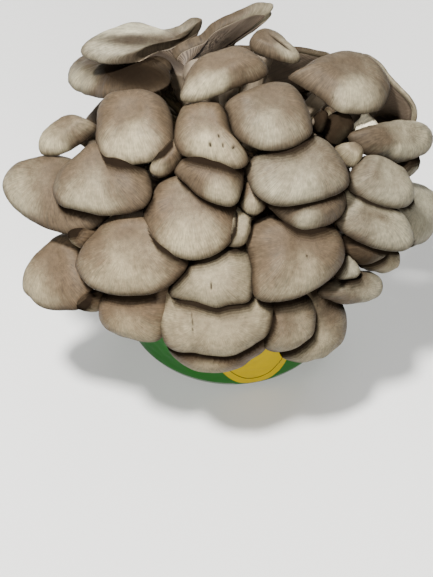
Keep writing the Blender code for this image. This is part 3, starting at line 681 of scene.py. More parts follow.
def insideOutline(outline, side, rise):
    # even-odd rule: how many of the outline's edges a level ray from each point crosses
    corners = np.array([spot[:2] for spot in outline], dtype=float)
    within = np.zeros(side.shape, dtype=bool)
    for (x0, y0), (x1, y1) in zip(corners, np.roll(corners, -1, axis=0)):
        if y0 != y1:
            within ^= ((y0 > rise) != (y1 > rise)) & (side < (x1 - x0) * (rise - y0) / (y1 - y0) + x0)
    return within


# Painted shadow: where another cap lies over one, its skin colour is darkened; the steps are mm up the view
shadowPaint = {"steps": (2.0, 4.0, 6.0, 8.5, 11.0, 14.0), "way": (-0.35, 1.0), "arch": 0.004,
         "back": (-4.0, -6.5, -9.0, -11.5), "weaker": 0.75}
seats = {}
for name, own in mushrooms.items():
    shape = {**usual, **own}
    inMetres = [shape[key] / 1000 for key in ("side", "rise", "deep")]
    place, outward = domePlace(*inMetres, shape["behind"])
    seats[name] = place, capAxes(outward, shape)


def planeDepth(name, side, rise, above=0.0):
    # how near the eye the plane of a cap's margin is along the lines of sight through (side, rise)
    place, axes = seats[name]
    line = unit(right * side[..., None] / 1000.0 + upward * rise[..., None] / 1000.0 - eye)
    reach = ((place - eye) @ axes[2] + above) / (line @ axes[2])
    return (eye + line * reach[..., None]) @ toward


def coveredBy(name):
    # the caps whose outlines run over this one's and lie nearer the eye there
    found = []
    for other in outlines:
        side, rise = np.array([spot[:2] for spot in outlines[other]], dtype=float).T
        over = insideOutline(outlines[name], side, rise)
        if other != name and mushrooms[other].get("solid", True) and over.any():
            nearer = planeDepth(other, side, rise) - planeDepth(name, side, rise, shadowPaint["arch"])
            if nearer[over].mean() > 0.0:
                found.append(other)
    return found


def shadowPaintShade(name, points, reach):
    # painted shadow: share of a few steps up toward the light, in the view, that end behind a cap that lies
    # over this one;
    # far in behind that cap, where steps back down end behind it too, the painted shadow grows weaker again
    side, rise = inView(points)
    above = coveredBy(name)

    def shareHidden(steps):
        found = np.zeros(side.shape)
        for step in steps:
            x, y = side + step * shadowPaint["way"][0], rise + step * shadowPaint["way"][1]
            hidden = np.zeros(side.shape, dtype=bool)
            for other in above:
                hidden |= insideOutline(outlines[other], x, y)
            found += hidden / len(steps)
        return found

    shade = smooth(0.0, 0.85, shareHidden([reach * step for step in shadowPaint["steps"]]))
    return shade * (1.0 - shadowPaint["weaker"] * shareHidden(shadowPaint["back"]))


# the cap's brown, partly its own colour and partly painted shade, and the painted shade of its margin
pigmentAndShadePaint = {
    "crownFades": (-0.15, 1.0), "sideShare": 0.25, "crownLeast": 0.12, "crownUneven": 0.12,
    "rimShadeBrown": 0.35, "rimShadeBrownFrom": 0.84,             # painted shade: brown that comes back along the margin
    "rimShadePaint": 0.80, "rimShadePaintFrom": 0.92,               # painted shade: the dark line as it shows from above
    "edgeShadePaint": (0.42, 0.85),                           # and painted shade round the margin, in shares of its rings
    "gillsEnd": 0.45, "stemStarts": 0.47, "gillsFade": 0.4,
    "roundStreaks": 0.30, "outStreaks": 0.085, "stemStreaks": 9.0, "seedStreaks": 1.7,
    "streaksMeet": (-0.25, 0.5),
}


def makeMushroom(name, shape, seed):
    # one closed skin: rings out over the top, round the margin, in along the gills, down the stem to its end
    kind = "fine" if shape["fine"] else "small" if shape["width"] < fineness["smallWidth"] else "usual"
    steps, topRings, edgeRings, gillRings, stemRings = fineness[kind]
    place, axes = seats[name]
    across, lip, face = axes
    shape["knots"] = marginKnots(outlines[name], shape, place, axes) if name in outlines else None
    angle = np.arange(steps) * 2 * math.pi / steps
    width = (shape["width"] + shape["length"]) / 4.0
    turnIn = max(0.6, 1.0 - profile["roundWidth"] / width)

    ratio = turnIn * (1.0 - (1.0 - np.linspace(0.0, 1.0, topRings + 1)[1:]) ** profile["ringCrowding"])
    top = capTop(shape, ratio[:, None], angle[None, :], seed)
    swing = np.linspace(0.0, math.pi, edgeRings + 1)[1:]
    edgeRatio = turnIn + (1.0 - turnIn) * np.sin(swing)
    edge = capTop(shape, edgeRatio[:, None], angle[None, :], seed)
    thick = flesh(shape, turnIn)
    edge[..., 2] -= (thick / 2.0 * (1.0 - np.cos(swing)))[:, None]

    middle = capTop(shape, np.array([[0.0]]), np.array([[0.0]]), seed)[0, 0]
    stem = shape["stem"]
    cadMiddle = np.array([0.0, -shape["back"] * shape["length"] / 2.0, shape["bulge"]])
    join = cadMiddle - np.array([0.0, 0.0, shape["thick"] + profile["stemTuck"] * stem])
    start = place + join / 1000.0 @ axes
    end = footOf(start, shape["aside"])
    control = start - face * profile["stemBend"] * np.linalg.norm(end - start)

    def stemRing(share):
        # circles turned with a quadratic curve from the cap to the foot, without twist, fluted, and flared
        # at the end
        share = np.asarray(share)[:, None]
        point = quadratic(start, control, end, share)
        way = unit((control - start) * (1 - share) + (end - control) * share)[:, None, :]
        c, s = np.cos(angle)[None, :], np.sin(angle)[None, :]
        flute = 1.0 + 0.05 * waves(seed + 3, 4, 2.0, 5.0, c, s, share * 3.0)
        flute = flute + 0.03 * waves(seed + 4, 4, 7.0, 14.0, c, s, share)
        radius = stem / 1000.0 * (profile["stemTop"] - profile["stemTaper"] * share)
        radius = radius * flute * (1.0 + profile["stemFlare"] * smooth(0.72, 1.0, share))
        outward = across * np.sin(angle)[None, :, None] + lip * np.cos(angle)[None, :, None]
        bend = (outward * way).sum(-1, keepdims=True) / (1.0 - way @ face)[..., None]
        return point[:, None, :] + radius[..., None] * (outward - bend * (way - face))

    # under side: a quadratic curve from the margin to the stem, pulled toward the flesh near the stem
    inner = capTop(shape, np.array([[profile["gillPull"]]]), angle[None, :], seed)
    inner[..., 2] -= flesh(shape, profile["gillPull"])
    first = place + edge[-1:] / 1000.0 @ axes
    pull = place + inner / 1000.0 @ axes
    last = stemRing([0.0])
    share = np.linspace(0.0, 1.0, gillRings + 1)[1:-1][:, None, None]
    under = quadratic(first, pull, last, share)
    comb = np.where(np.arange(steps) % 2 == 0, 1.0, -1.0)[None, :, None]
    depth = smooth(0.0, 0.16, share) * (1.0 - 0.75 * smooth(0.6, 1.0, share)) * profile["gillHeight"] / 2000.0
    depth = depth * min(1.0, shape["width"] / 50.0)
    under = under - face * depth * comb
    stemShare = np.linspace(0.0, 1.0, stemRings)
    stemPart = stemRing(stemShare)
    centre = stemPart.mean(axis=1, keepdims=True)
    fade = (1.0 - smooth(0.0, 0.45, stemShare))[:, None, None]
    stemPart = stemPart + unit(stemPart - centre) * comb * fade * profile["stemLines"]

    rings = np.concatenate([place + top / 1000.0 @ axes, place + edge / 1000.0 @ axes, under, stemPart])
    polar = place + middle / 1000.0 @ axes

    topCount = topRings + edgeRings
    radii = np.concatenate([ratio, edgeRatio])
    # brown lies over the crown and the rear, partly the cap's own brown and partly painted shade toward the
    # caps above, and comes back along the margin as painted shade; the lip's broad part stays pale
    ahead, beside = np.cos(angle)[None, :] * radii[:, None], np.sin(angle)[None, :] * radii[:, None]
    toLip = smooth(*pigmentAndShadePaint["crownFades"], ahead - pigmentAndShadePaint["sideShare"] * beside ** 2)
    crown = shape["crown"] * (1.0 - toLip) + pigmentAndShadePaint["crownLeast"]
    crown = crown + pigmentAndShadePaint["rimShadeBrown"] * smooth(pigmentAndShadePaint["rimShadeBrownFrom"], 1.0, radii)[:, None]
    crown = crown + pigmentAndShadePaint["crownUneven"] * waves(seed + 5, 4, 1.5, 4.0, ahead, beside)
    # painted shade at the margin: darker toward the rim and round it
    onEdge = smooth(*(topRings + share * edgeRings for share in pigmentAndShadePaint["edgeShadePaint"]), np.arange(topCount))
    atRim = pigmentAndShadePaint["rimShadePaint"] * smooth(pigmentAndShadePaint["rimShadePaintFrom"], 1.0, radii)
    dark = shape["rimShadePaint"] * np.maximum(onEdge, atRim)[:, None]
    seen = inView(rings[:topCount])
    # browner or paler patches: partly the cap's own tone, partly painted shade and painted light
    for tint in shape["tintsAndPaintedShading"]:
        u, v = turnedPlace(*seen, tint)
        crown = crown + tint[5] * np.exp(-u ** 2 - v ** 2)
    # painted shade: dark patches
    for patch in shape["paintedShades"]:
        u, v = turnedPlace(*seen, patch)
        dark = np.maximum(dark, patch[5] * np.exp(-(u ** 2 + v ** 2) ** 2))
    # painted shadow of the caps that lie over this one
    if name in outlines:
        dark = np.maximum(dark, shadowPaintShade(name, rings[:topCount], shape["shadowPaintReach"]))
    # slits pressed into the top, their darkness painted shade
    for slit in shape["marks"]:
        u, v = turnedPlace(*seen, slit)
        mask = np.exp(-u ** 2 - v ** 4)
        rings[:topCount] -= face * (mask * slit[5] / 1000.0)[..., None]
        dark = np.maximum(dark, mask)
    zones = np.zeros(rings.shape)
    zones[:topCount, :, 0] = crown
    zones[:topCount, :, 1] = dark
    downShare = np.concatenate([np.linspace(0.0, pigmentAndShadePaint["gillsEnd"], len(under)),
                                np.linspace(pigmentAndShadePaint["stemStarts"], 1.0, stemRings)])
    zones[topCount:, :, 0] = downShare[:, None]
    downStem = 1.0 - 0.9 * smooth(0.0, pigmentAndShadePaint["gillsFade"], stemShare)
    gillFade = np.concatenate([np.ones(len(under)), downStem])[:, None]
    zones[topCount:, :, 1] = 0.5 + 0.5 * comb[..., 0] * gillFade
    zones[..., 2] = shape["warm"]
    streak = np.zeros(rings.shape)
    spread, farOut = shape["width"] * pigmentAndShadePaint["roundStreaks"], width * pigmentAndShadePaint["outStreaks"]
    streak[..., 0], streak[..., 1] = np.cos(angle) * spread, np.sin(angle) * spread
    out = np.concatenate([radii * farOut, np.linspace(farOut, pigmentAndShadePaint["stemStreaks"], len(rings) - topCount)])
    seedShift = seed * pigmentAndShadePaint["seedStreaks"]
    streak[..., 2] = out[:, None] + seedShift
    streak[:topCount, :, :2] *= smooth(*pigmentAndShadePaint["streaksMeet"], radii)[:, None, None]
    polePoint = rings[-1].mean(axis=0)
    attributes = {
        "zones": np.vstack([zones.reshape(-1, 3), zones[0].mean(axis=0), [1.0, 0.5, shape["warm"]]]),
        "streak": np.vstack([streak.reshape(-1, 3), [0, 0, seedShift], [0, 0, pigmentAndShadePaint["stemStreaks"]]]),
    }
    slots = [0] * (topCount - 1) + [1] * (len(rings) - topCount + 1)
    finishes = bpy.data.materials[shape["skin"]], gillFlesh
    piece = gridMesh(name, rings, polar, polePoint, attributes, finishes, slots)
    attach(piece, "root")
    if shape["solid"]:
        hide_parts("mushroom_" + name)
    return piece


for number, (name, own) in enumerate(mushrooms.items()):
    makeMushroom(name, {**usual, **own}, 100 + 10 * number)
print(len(mushrooms), "mushrooms made")

# The fused foot
footLooks = {
    "pale": (0.22, 0.17, 0.11), "dull": (0.10, 0.07, 0.045), "steps": 220, "rings": 110, "sunk": 0.0008,
    "knobs": 130, "knobHeight": 0.0035, "knobSpread": 0.011, "knobSizes": (0.5, 1.3),
    "knobWidths": (0.75, 1.25), "knobLoose": 0.12, "knobsDown": 1.7, "betweenKnobs": 0.45,
}


def makeFootSkin():
    finish, tree, shader = newFinish("fused foot")
    place = add(tree, "TexCoord", output=3)
    down = noise(tree, place, 300.0, 4.0, 0.65)
    patches = noise(tree, place, 38.0, 4.0, 0.6)
    colour = mixColour(tree, ramp(tree, patches, 0.38, 0.68), footLooks["pale"], footLooks["dull"])
    colour = shaded(tree, colour, ramp(tree, down, 0.3, 0.7, 0.85, 1.12, "LINEAR"))
    dress(tree, shader, down, 0.6, 0.0012, Base_Color=colour, Roughness=0.85, Sheen_Weight=0.25)
    return finish


def makeFoot():
    # a squat ball whose radius grows near each of many scattered points, as a knot of swollen stem feet
    steps, rings = footLooks["steps"], footLooks["rings"]
    angle = np.arange(steps) * 2 * math.pi / steps
    slope = np.linspace(0.02, 1.0, rings) * math.pi * 0.80
    lump = 1.0 + foot["lump"] * np.sin(foot["lumps"] * angle)[None, :] * np.sin(slope)[:, None] ** 2
    reach = foot["radius"] * lump * np.sin(slope)[:, None]
    height = foot["centreZ"] + foot["height"] * np.cos(slope)[:, None] * np.ones_like(lump)
    underside = foot["bottom"] - footLooks["sunk"]
    height = np.maximum(height, underside)
    points = np.stack([reach * np.sin(angle), reach * np.cos(angle), height], -1)
    draw = np.random.default_rng(7)
    count = footLooks["knobs"]
    level = 1.0 - (np.arange(count) + 0.5) * footLooks["knobsDown"] / count
    goldenTurn = math.pi * (3.0 - math.sqrt(5.0))
    turn = np.arange(count) * goldenTurn + draw.normal(size=count) * footLooks["knobLoose"]
    flat = np.sqrt(1.0 - level ** 2)
    knob = np.stack([foot["radius"] * flat * np.sin(turn), foot["radius"] * flat * np.cos(turn),
                     foot["centreZ"] + foot["height"] * level], -1)
    grow = draw.uniform(*footLooks["knobSizes"], size=count)
    spread = footLooks["knobSpread"] * draw.uniform(*footLooks["knobWidths"], size=count)
    swell = np.zeros(points.shape[:2])
    for centre, size, wide in zip(knob, grow, spread):
        distance = np.linalg.norm(points - centre, axis=-1)
        swell = np.maximum(swell, size * np.sqrt(np.clip(1.0 - (distance / wide) ** 2, 0.0, 1.0)))
    normal = unit((points - np.array([0.0, 0.0, foot["centreZ"]])) / np.array([1.0, 1.0, 0.8]))
    raised = (swell - footLooks["betweenKnobs"]) * footLooks["knobHeight"]
    raised = raised * (1.0 - smooth(0.88, 1.0, np.linspace(0.0, 1.0, rings)))[:, None]
    points = points + normal * raised[..., None]
    return gridMesh("cluster_foot_knobs", points, (0.0, 0.0, points[0, :, 2].mean()), (0.0, 0.0, underside),
                    materials=(makeFootSkin(),))


footPiece = makeFoot()
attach(footPiece, "root")
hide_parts("cluster_foot")
print("fused foot made")

# Young mushrooms that stayed small, crowded on the foot below the large caps
youngLooks = {
    "count": 190, "overRim": 34,    # how many on the foot, and round its rim
    "steps": 14,                    # faces round each
    "stem": (0.0024, 0.0042), "cap": (0.0055, 0.0105),  # least and greatest radius
    "reach": (0.60, 0.72),          # how far out toward the dome, least and greatest
    "startUp": 0.10, "startIn": 0.90, "startOver": 0.022,
    "bendUp": 0.012, "bendRimUp": 0.016, "bendLoose": 0.003,
}


def makeYoung():
    # a profile turned round a bent path, for all of them at once: a stem that narrows upward, a rolled lower
    # margin and a domed cap; each path is a quadratic curve from the foot to a share of the dome
    draw = np.random.default_rng(91)
    count, spill, steps = youngLooks["count"], youngLooks["overRim"], youngLooks["steps"]
    level = np.concatenate([draw.uniform(0.02, 0.93, count), draw.uniform(-0.42, -0.02, spill)])
    evenTurns = np.linspace(0.0, 2 * math.pi, spill + 1)[1:]
    turn = np.concatenate([draw.uniform(0.0, 2 * math.pi, count), evenTurns])
    total = count + spill
    flat = np.sqrt(1.0 - level ** 2)
    way = np.stack([flat * np.sin(turn), -flat * np.cos(turn), level], -1)
    footRadii = np.array([foot["radius"], foot["radius"], foot["height"]])
    startWay = unit(way + np.array([0.0, 0.0, youngLooks["startUp"]]))
    start = np.array([0.0, 0.0, foot["centreZ"]]) + footRadii * startWay * youngLooks["startIn"]
    start[:, 2] = np.maximum(start[:, 2], foot["bottom"] + youngLooks["startOver"])
    share = draw.uniform(*youngLooks["reach"], total)
    end = dome["centre"] + dome["radii"] * way * share[:, None]
    control = (start + end) / 2 + np.array([0.0, 0.0, youngLooks["bendUp"]])
    control = control + draw.normal(size=(total, 3)) * youngLooks["bendLoose"]
    control[:, 2] += youngLooks["bendRimUp"] * smooth(0.05, -0.30, level)
    stem, cap = draw.uniform(*youngLooks["stem"], total), draw.uniform(*youngLooks["cap"], total)
    # profile: share of the path, share of the stem's radius, share of the cap's radius
    line = np.array([(0.0, 1.5, 0.0), (0.25, 1.1, 0.0), (0.50, 0.95, 0.0), (0.72, 0.85, 0.0),
                     (0.80, 0.8, 0.12), (0.80, 0.2, 0.80), (0.82, 0.0, 0.98), (0.86, 0.0, 1.0),
                     (0.91, 0.0, 0.88), (0.96, 0.0, 0.62), (0.99, 0.0, 0.28)])
    along, stemShare, capShare = line.T
    t = along[None, :, None]
    path = quadratic(start[:, None], control[:, None], end[:, None], t)
    tangent = unit((control - start)[:, None] * (1 - t) + (end - control)[:, None] * t)
    beside = unit(np.cross(tangent, np.array([0.2, 0.1, 1.0])))
    above = np.cross(tangent, beside)
    radius = stem[:, None] * stemShare + cap[:, None] * capShare
    a = np.arange(steps) * 2 * math.pi / steps
    uneven = 1.0 + 0.10 * np.sin(2 * a + turn[:, None, None] * 7.0)
    ring = (radius[..., None] * uneven)[..., None]
    circle = beside[:, :, None] * np.cos(a)[:, None] + above[:, :, None] * np.sin(a)[:, None]
    tube = path[:, :, None] + ring * circle
    onCap = (capShare > 0.5)[None, :, None] * np.ones((total, 1, steps))
    # their y zone darkens them all over as painted shade, the stems more than the caps
    zones = np.stack([onCap + 0.35 * (1 - onCap), 0.35 + 0.1 * (1 - onCap), 0.7 * np.ones_like(onCap)], -1)
    outward = along[None, :, None] * 2.0 + np.arange(total)[:, None, None] * 1.7
    streak = np.stack(np.broadcast_arrays(np.cos(a) * 3.0, np.sin(a) * 3.0, outward), -1)
    attributes = {"zones": zones.reshape(-1, 3), "streak": streak.reshape(-1, 3)}
    corners, sizes = tubeFaces(total, len(line), steps)
    return meshPiece("young_mushrooms", tube.reshape(-1, 3), corners, sizes, attributes, (capSkin,))


youngPiece = makeYoung()
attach(youngPiece, "root")
print("young mushrooms made")

# The bag
bag = {"radius": 0.1005, "height": 0.140, "film": 0.0012, "corner": 0.012, "cuffDrop": 0.020,
       "cuffOut": 0.0045, "hemStep": 0.0008, "steps": 320, "hub": 0.004,
       "fold": 0.0011, "soft": 0.55, "crease": 0.75, "fine": 0.18, "foldsFrom": (0.004, 0.035)}
printLooks = {
    "green": (0.012, 0.115, 0.012), "yellow": (0.62, 0.44, 0.0), "line": (0.05, 0.040, 0.01),
    "pale": (0.33, 0.34, 0.31),
    "ovalTurn": 12.0, "ovalHeight": 0.052, "ovalHalfWidth": 0.036, "ovalHalfHeight": 0.0455,
    "lineAt": 0.80, "ringHeight": 0.0085, "roughLow": 0.36, "roughHigh": 0.52, "shine": 0.2,
}


def filmFolds(angle, height):
    # soft upright folds and slanting creases, pressed flat at the base corner and at the cuff's hem
    soft = waves(31, 6, 3.0, 14.0, np.cos(angle), np.sin(angle), height * 9.0)
    crease = 1.0 - np.abs(waves(32, 5, 4.0, 9.0, np.cos(angle) * 2.0, np.sin(angle) * 2.0, height * 55.0))
    crease = np.clip(crease, 0.0, 1.0) ** 6
    fine = waves(33, 8, 12.0, 30.0, np.cos(angle), np.sin(angle), height * 40.0)
    folds = bag["soft"] * soft + bag["crease"] * crease + bag["fine"] * fine
    return bag["fold"] * smooth(*bag["foldsFrom"], height) * folds


def makeBagSurface():
    # a profile from the middle of the floor inside, up the wall, over the folded cuff and down the outside
    radius, film, corner = bag["radius"], bag["film"], bag["corner"]
    hem = bag["height"] - bag["cuffDrop"]
    quarter = np.linspace(0.0, math.pi / 2, 9)
    middle = radius - corner
    floorIn = [(r, film) for r in np.linspace(bag["hub"], middle, 12)[:-1]]
    bend = corner - film
    cornerIn = [(middle + bend * math.sin(q), corner - bend * math.cos(q)) for q in quarter]
    wallIn = [(radius - film, z) for z in np.linspace(corner, bag["height"] - 0.004, 30)[1:]]
    over = np.linspace(math.pi * 0.95, math.pi * 0.05, 12)
    rollX, rollR = radius - film + bag["cuffOut"] / 2, bag["cuffOut"] / 2 + film / 2
    cuffTop = [(rollX + rollR * math.cos(a), bag["height"] + rollR * math.sin(a)) for a in over]
    cuffWall = [(radius + bag["cuffOut"], z) for z in np.linspace(bag["height"] - 0.001, hem + 0.0006, 10)]
    hemEdge = [(radius + bag["cuffOut"] - 0.0004, hem), (radius + 0.0022, hem + 0.0004),
               (radius + 0.0009, hem - 0.0006)]
    wallOut = [(radius + bag["hemStep"] * smooth(0.0, 1.0, (z - corner) / (hem - corner)), z)
               for z in np.linspace(hem - 0.003, corner, 44)]
    cornerOut = [(middle + corner * math.cos(q), corner - corner * math.sin(q)) for q in quarter[1:]]
    floorOut = [(r, 0.0) for r in np.linspace(middle, bag["hub"], 12)[1:]]
    inner = floorIn + cornerIn + wallIn
    line = np.array(inner + cuffTop + cuffWall + hemEdge + wallOut + cornerOut + floorOut)
    angle = np.arange(bag["steps"]) * 2 * math.pi / bag["steps"]
    height = line[:, 1:] * np.ones((1, bag["steps"]))
    wall = smooth(middle, radius - film, line[:, :1])
    folded = line[:, :1] + wall * filmFolds(angle[None, :], height)
    folded[:len(inner)] = line[:len(inner), :1]
    return np.stack([folded * np.sin(angle), -folded * np.cos(angle), height], -1)


def makeFilmPrint():
    # the print is worked out from the angle round the bag and the height: ovals with a thin line in them
    finish, tree, shader = newFinish("printed film")
    place = add(tree, "TexCoord", output=3)
    x, y, z = threeOf(tree, place)
    turn = maths(tree, "ARCTAN2", x, maths(tree, "MULTIPLY", y, -1.0))
    fromOval = maths(tree, "SUBTRACT", turn, math.radians(printLooks["ovalTurn"]))
    halfTurn = maths(tree, "WRAP", fromOval, math.pi / 2, -math.pi / 2)
    u = maths(tree, "DIVIDE", maths(tree, "MULTIPLY", halfTurn, bag["radius"]), printLooks["ovalHalfWidth"])
    overMiddle = maths(tree, "SUBTRACT", z, printLooks["ovalHeight"])
    v = maths(tree, "DIVIDE", overMiddle, printLooks["ovalHalfHeight"])
    square = maths(tree, "ADD", maths(tree, "MULTIPLY", u, u), maths(tree, "MULTIPLY", v, v))
    oval = maths(tree, "SQRT", square)
    ovalShare = ramp(tree, oval, 0.985, 1.0, 1.0, 0.0)
    yellow = mixColour(tree, ovalShare, printLooks["green"], printLooks["yellow"])
    lineShare = maths(tree, "ABSOLUTE", maths(tree, "SUBTRACT", oval, printLooks["lineAt"]))
    lined = mixColour(tree, ramp(tree, lineShare, 0.008, 0.018, 1.0, 0.0), yellow, printLooks["line"])
    # a plain pale ring low on the bag, which stops where an oval crosses it
    ring = maths(tree, "ABSOLUTE", maths(tree, "SUBTRACT", z, printLooks["ringHeight"]))
    ringShare = maths(tree, "MULTIPLY", ramp(tree, ring, 0.0006, 0.0010, 1.0, 0.0),
                      ramp(tree, oval, 1.08, 1.10, 0.0, 1.0))
    printed = mixColour(tree, ringShare, lined, printLooks["pale"])
    grime = noise(tree, place, 60.0, 5.0, 0.6)
    printed = shaded(tree, printed, ramp(tree, grime, 0.3, 0.75, 0.90, 1.08, "LINEAR"))
    rough = ramp(tree, grime, 0.3, 0.7, printLooks["roughLow"], printLooks["roughHigh"])
    creases = noise(tree, place, 130.0, 3.0, 0.5, 0.8)
    dress(tree, shader, creases, 0.25, 0.0008, Base_Color=printed, Roughness=rough,
          Specular_IOR_Level=printLooks["shine"])
    return finish


bagPiece = gridMesh("grow_bag", makeBagSurface(), (0.0, 0.0, bag["film"]), (0.0, 0.0, 0.0),
                    materials=(makeFilmPrint(),))
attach(bagPiece, "root")
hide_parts("bag")
print("bag made")

# The grown-through block
block = {"top": 0.122, "wall": 0.0983, "chamfer": 0.006, "corner": 0.0105, "base": 0.0017, "steps": 260,
         "hub": 0.004, "lumps": 0.0010, "crumbs": 0.0008, "sunk": 0.0008}
straws = {
    "count": 300, "rings": 6, "sides": 5, "fromMiddle": (0.076, 0.0925), "over": (0.0002, 0.0030),
    "length": (0.006, 0.017), "thick": (0.0004, 0.0010), "turned": 0.55, "bend": 0.5, "tilt": 0.16,
    "sag": 0.12, "taper": 0.35, "flatness": 0.6,
}
blockLooks = {"straw": (0.36, 0.25, 0.12), "dark": (0.10, 0.065, 0.03), "threads": (0.66, 0.63, 0.56)}


def makeBlockSkin(name, threadLow, threadHigh):
    finish, tree, shader = newFinish(name)
    place = add(tree, "TexCoord", output=3)
    along = {"Vector": place, "Scale": (1.0, 1.0, 0.35), "Rotation": (0.5, 0.2, 0.7)}
    stretched = add(tree, "Mapping", along)
    grain = noise(tree, stretched, 240.0, 5.0, 0.7)
    patch = noise(tree, place, 42.0, 5.0, 0.65)
    straw = mixColour(tree, ramp(tree, grain, 0.35, 0.65), blockLooks["dark"], blockLooks["straw"])
    colour = mixColour(tree, ramp(tree, patch, threadLow, threadHigh), straw, blockLooks["threads"])
    dress(tree, shader, maths(tree, "ADD", grain, patch), 0.8, 0.0015, Base_Color=colour, Roughness=0.95)
    return finish


def makeBlock():
    # a drum that is a little smaller than the bag, its top broken up by waves of several sizes
    wall, top = block["wall"], block["top"]
    quarter = np.linspace(0.0, math.pi / 2, 7)
    topLine = [(r, top) for r in np.linspace(block["hub"], wall - block["chamfer"], 34)]
    shoulder = [(wall - block["chamfer"] * (1 - math.sin(q)), top - block["chamfer"] * (1 - math.cos(q)))
                for q in quarter[1:]]
    side = [(wall, z) for z in np.linspace(top - block["chamfer"], block["corner"] + block["base"], 24)[1:]]
    low = [(wall - block["corner"] * (1 - math.cos(q)), block["base"] + block["corner"] * (1 - math.sin(q)))
           for q in quarter[1:]]
    under = [(r, block["base"]) for r in np.linspace(wall - block["corner"], block["hub"], 10)[1:]]
    line = np.array(topLine + shoulder + side + low + under)
    angle = np.arange(block["steps"]) * 2 * math.pi / block["steps"]
    radius = line[:, :1] * np.ones((1, block["steps"]))
    x, y = radius * np.sin(angle), radius * np.cos(angle)
    rough = block["lumps"] * waves(51, 9, 90.0, 260.0, x, y)
    rough = rough + block["crumbs"] * waves(52, 9, 350.0, 800.0, x, y)
    onTop = np.clip(1.0 - (top - line[:, 1:]) / 0.004, 0.0, 1.0)
    height = line[:, 1:] + onTop * (rough - block["sunk"])
    return gridMesh("straw_block", np.stack([x, y, height], -1), (0.0, 0.0, height[0].mean()),
                    (0.0, 0.0, block["base"]), materials=(makeBlockSkin("straw block", 0.40, 0.62),))


def makeStraws():
    # short bent straws on the block's open rim: five-sided tubes along shallow arcs, all worked out at once
    draw = np.random.default_rng(61)
    count, rings, sides = straws["count"], straws["rings"], straws["sides"]
    where = draw.uniform(0, 2 * math.pi, count)
    radius = draw.uniform(*straws["fromMiddle"], count)
    heading = where + math.pi / 2 + draw.normal(size=count) * straws["turned"]
    length = draw.uniform(*straws["length"], count)
    thick = draw.uniform(*straws["thick"], count)
    bend = draw.normal(size=count) * straws["bend"]
    height = block["top"] + draw.uniform(*straws["over"], count)
    tilt = draw.normal(size=count) * straws["tilt"]
    t = np.linspace(-0.5, 0.5, rings)[None, :]
    course = heading[:, None] + bend[:, None] * t
    x = (radius * np.sin(where))[:, None] + length[:, None] * t * np.sin(course)
    y = (radius * np.cos(where))[:, None] + length[:, None] * t * np.cos(course)
    z = height[:, None] + length[:, None] * t * tilt[:, None]
    z = z - straws["sag"] * length[:, None] * (2 * t) ** 2
    path = np.stack([x, y, z], -1)
    way = unit(np.gradient(path, axis=1))
    beside = unit(np.cross(way, np.array([0.0, 0.0, 1.0])))
    above = np.cross(beside, way)
    a = np.arange(sides) * 2 * math.pi / sides
    radii = thick[:, None, None] * (1.0 - straws["taper"] * (2 * t) ** 4)[..., None]
    oval = beside[:, :, None] * np.cos(a)[:, None]
    oval = oval + straws["flatness"] * above[:, :, None] * np.sin(a)[:, None]
    tube = path[:, :, None] + radii[..., None] * oval
    corners, sizes = tubeFaces(count, rings, sides, mirrored=True)
    return meshPiece("straw_bits", tube.reshape(-1, 3), corners, sizes,
                     materials=(makeBlockSkin("loose straw", 0.52, 0.80),))


blockPiece = makeBlock()
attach(blockPiece, "root")
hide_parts("substrate_block")
strawPiece = makeStraws()
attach(strawPiece, "root")
print("block and straw made")

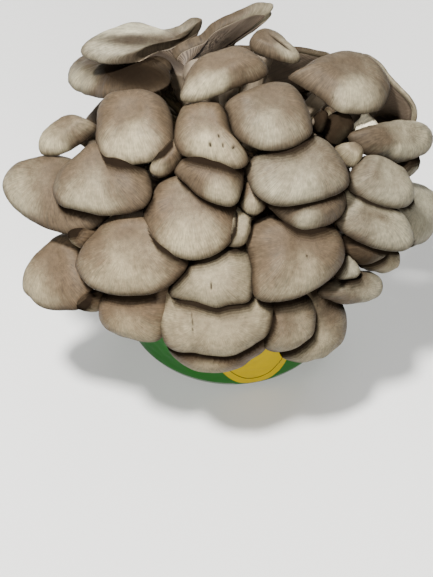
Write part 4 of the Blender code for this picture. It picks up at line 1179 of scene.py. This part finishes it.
# Floor, lights and camera
studio = {
    "floor": (0.86, 0.86, 0.85), "world": (1.0, 1.0, 1.0), "worldStrength": 0.10, "aimHeight": 0.18,
    "key": dict(place=(-0.42, -0.55, 1.90), size=0.22, power=92.0, colour=(1.0, 0.985, 0.955)),
    "front": dict(place=(0.15, -1.9, 1.15), size=1.1, power=44.0, colour=(1.0, 0.985, 0.96)),
    "left": dict(place=(-1.6, -0.5, 0.9), size=1.2, power=5.0, colour=(0.97, 0.985, 1.0)),
    "back": dict(place=(0.4, 1.7, 1.3), size=1.4, power=20.0, colour=(0.98, 0.99, 1.0)),
}


def lamp(name, place, size, power, colour):
    # a round area lamp that faces a point over the bag
    data = bpy.data.lights.new(name, "AREA")
    data.shape, data.size, data.energy, data.color = "DISK", size, power, colour
    thing = bpy.data.objects.new(name, data)
    bpy.context.scene.collection.objects.link(thing)
    back = unit(np.array(place) - np.array([0.0, 0.0, studio["aimHeight"]]))
    side = unit(np.cross(np.array([0.0, 0.0, 1.0]), back))
    up = np.cross(back, side)
    thing.matrix_world = Matrix([[side[i], up[i], back[i], place[i]] for i in range(3)] + [[0, 0, 0, 1]])


floorMesh = bpy.data.meshes.new("floor")
floorMesh.from_pydata([(-6, -6, 0), (6, -6, 0), (6, 6, 0), (-6, 6, 0)], [], [(0, 1, 2, 3)])
floorFinish, floorTree, floorShader = newFinish("floor")
connect(floorTree, floorShader, {"Base Color": studio["floor"], "Roughness": 0.9})
floorMesh.materials.append(floorFinish)
floor = bpy.data.objects.new("floor", floorMesh)
bpy.context.scene.collection.objects.link(floor)
floor.visible_diffuse = False    # no light thrown up from the floor, as over dark cards

world = bpy.data.worlds.new("studio")
world.use_nodes = True
world.node_tree.nodes["Background"].inputs[0].default_value = (*studio["world"], 1.0)
world.node_tree.nodes["Background"].inputs[1].default_value = studio["worldStrength"]
bpy.context.scene.world = world
for name in ("key", "front", "left", "back"):
    lamp(name, **studio[name])

cameraData = bpy.data.cameras.new("camera")
cameraData.sensor_fit = "HORIZONTAL"
cameraData.sensor_width = sight["sensor"]
cameraData.lens = sight["focalPixels"] / sight["imageWidth"] * sight["sensor"]
cameraData.clip_start, cameraData.clip_end = 0.05, 20.0
camera = bpy.data.objects.new("camera", cameraData)
bpy.context.scene.collection.objects.link(camera)
camera.matrix_world = Matrix([[right[i], upward[i], toward[i], eye[i]] for i in range(3)] + [[0, 0, 0, 1]])
bpy.context.scene.camera = camera
print("studio made")
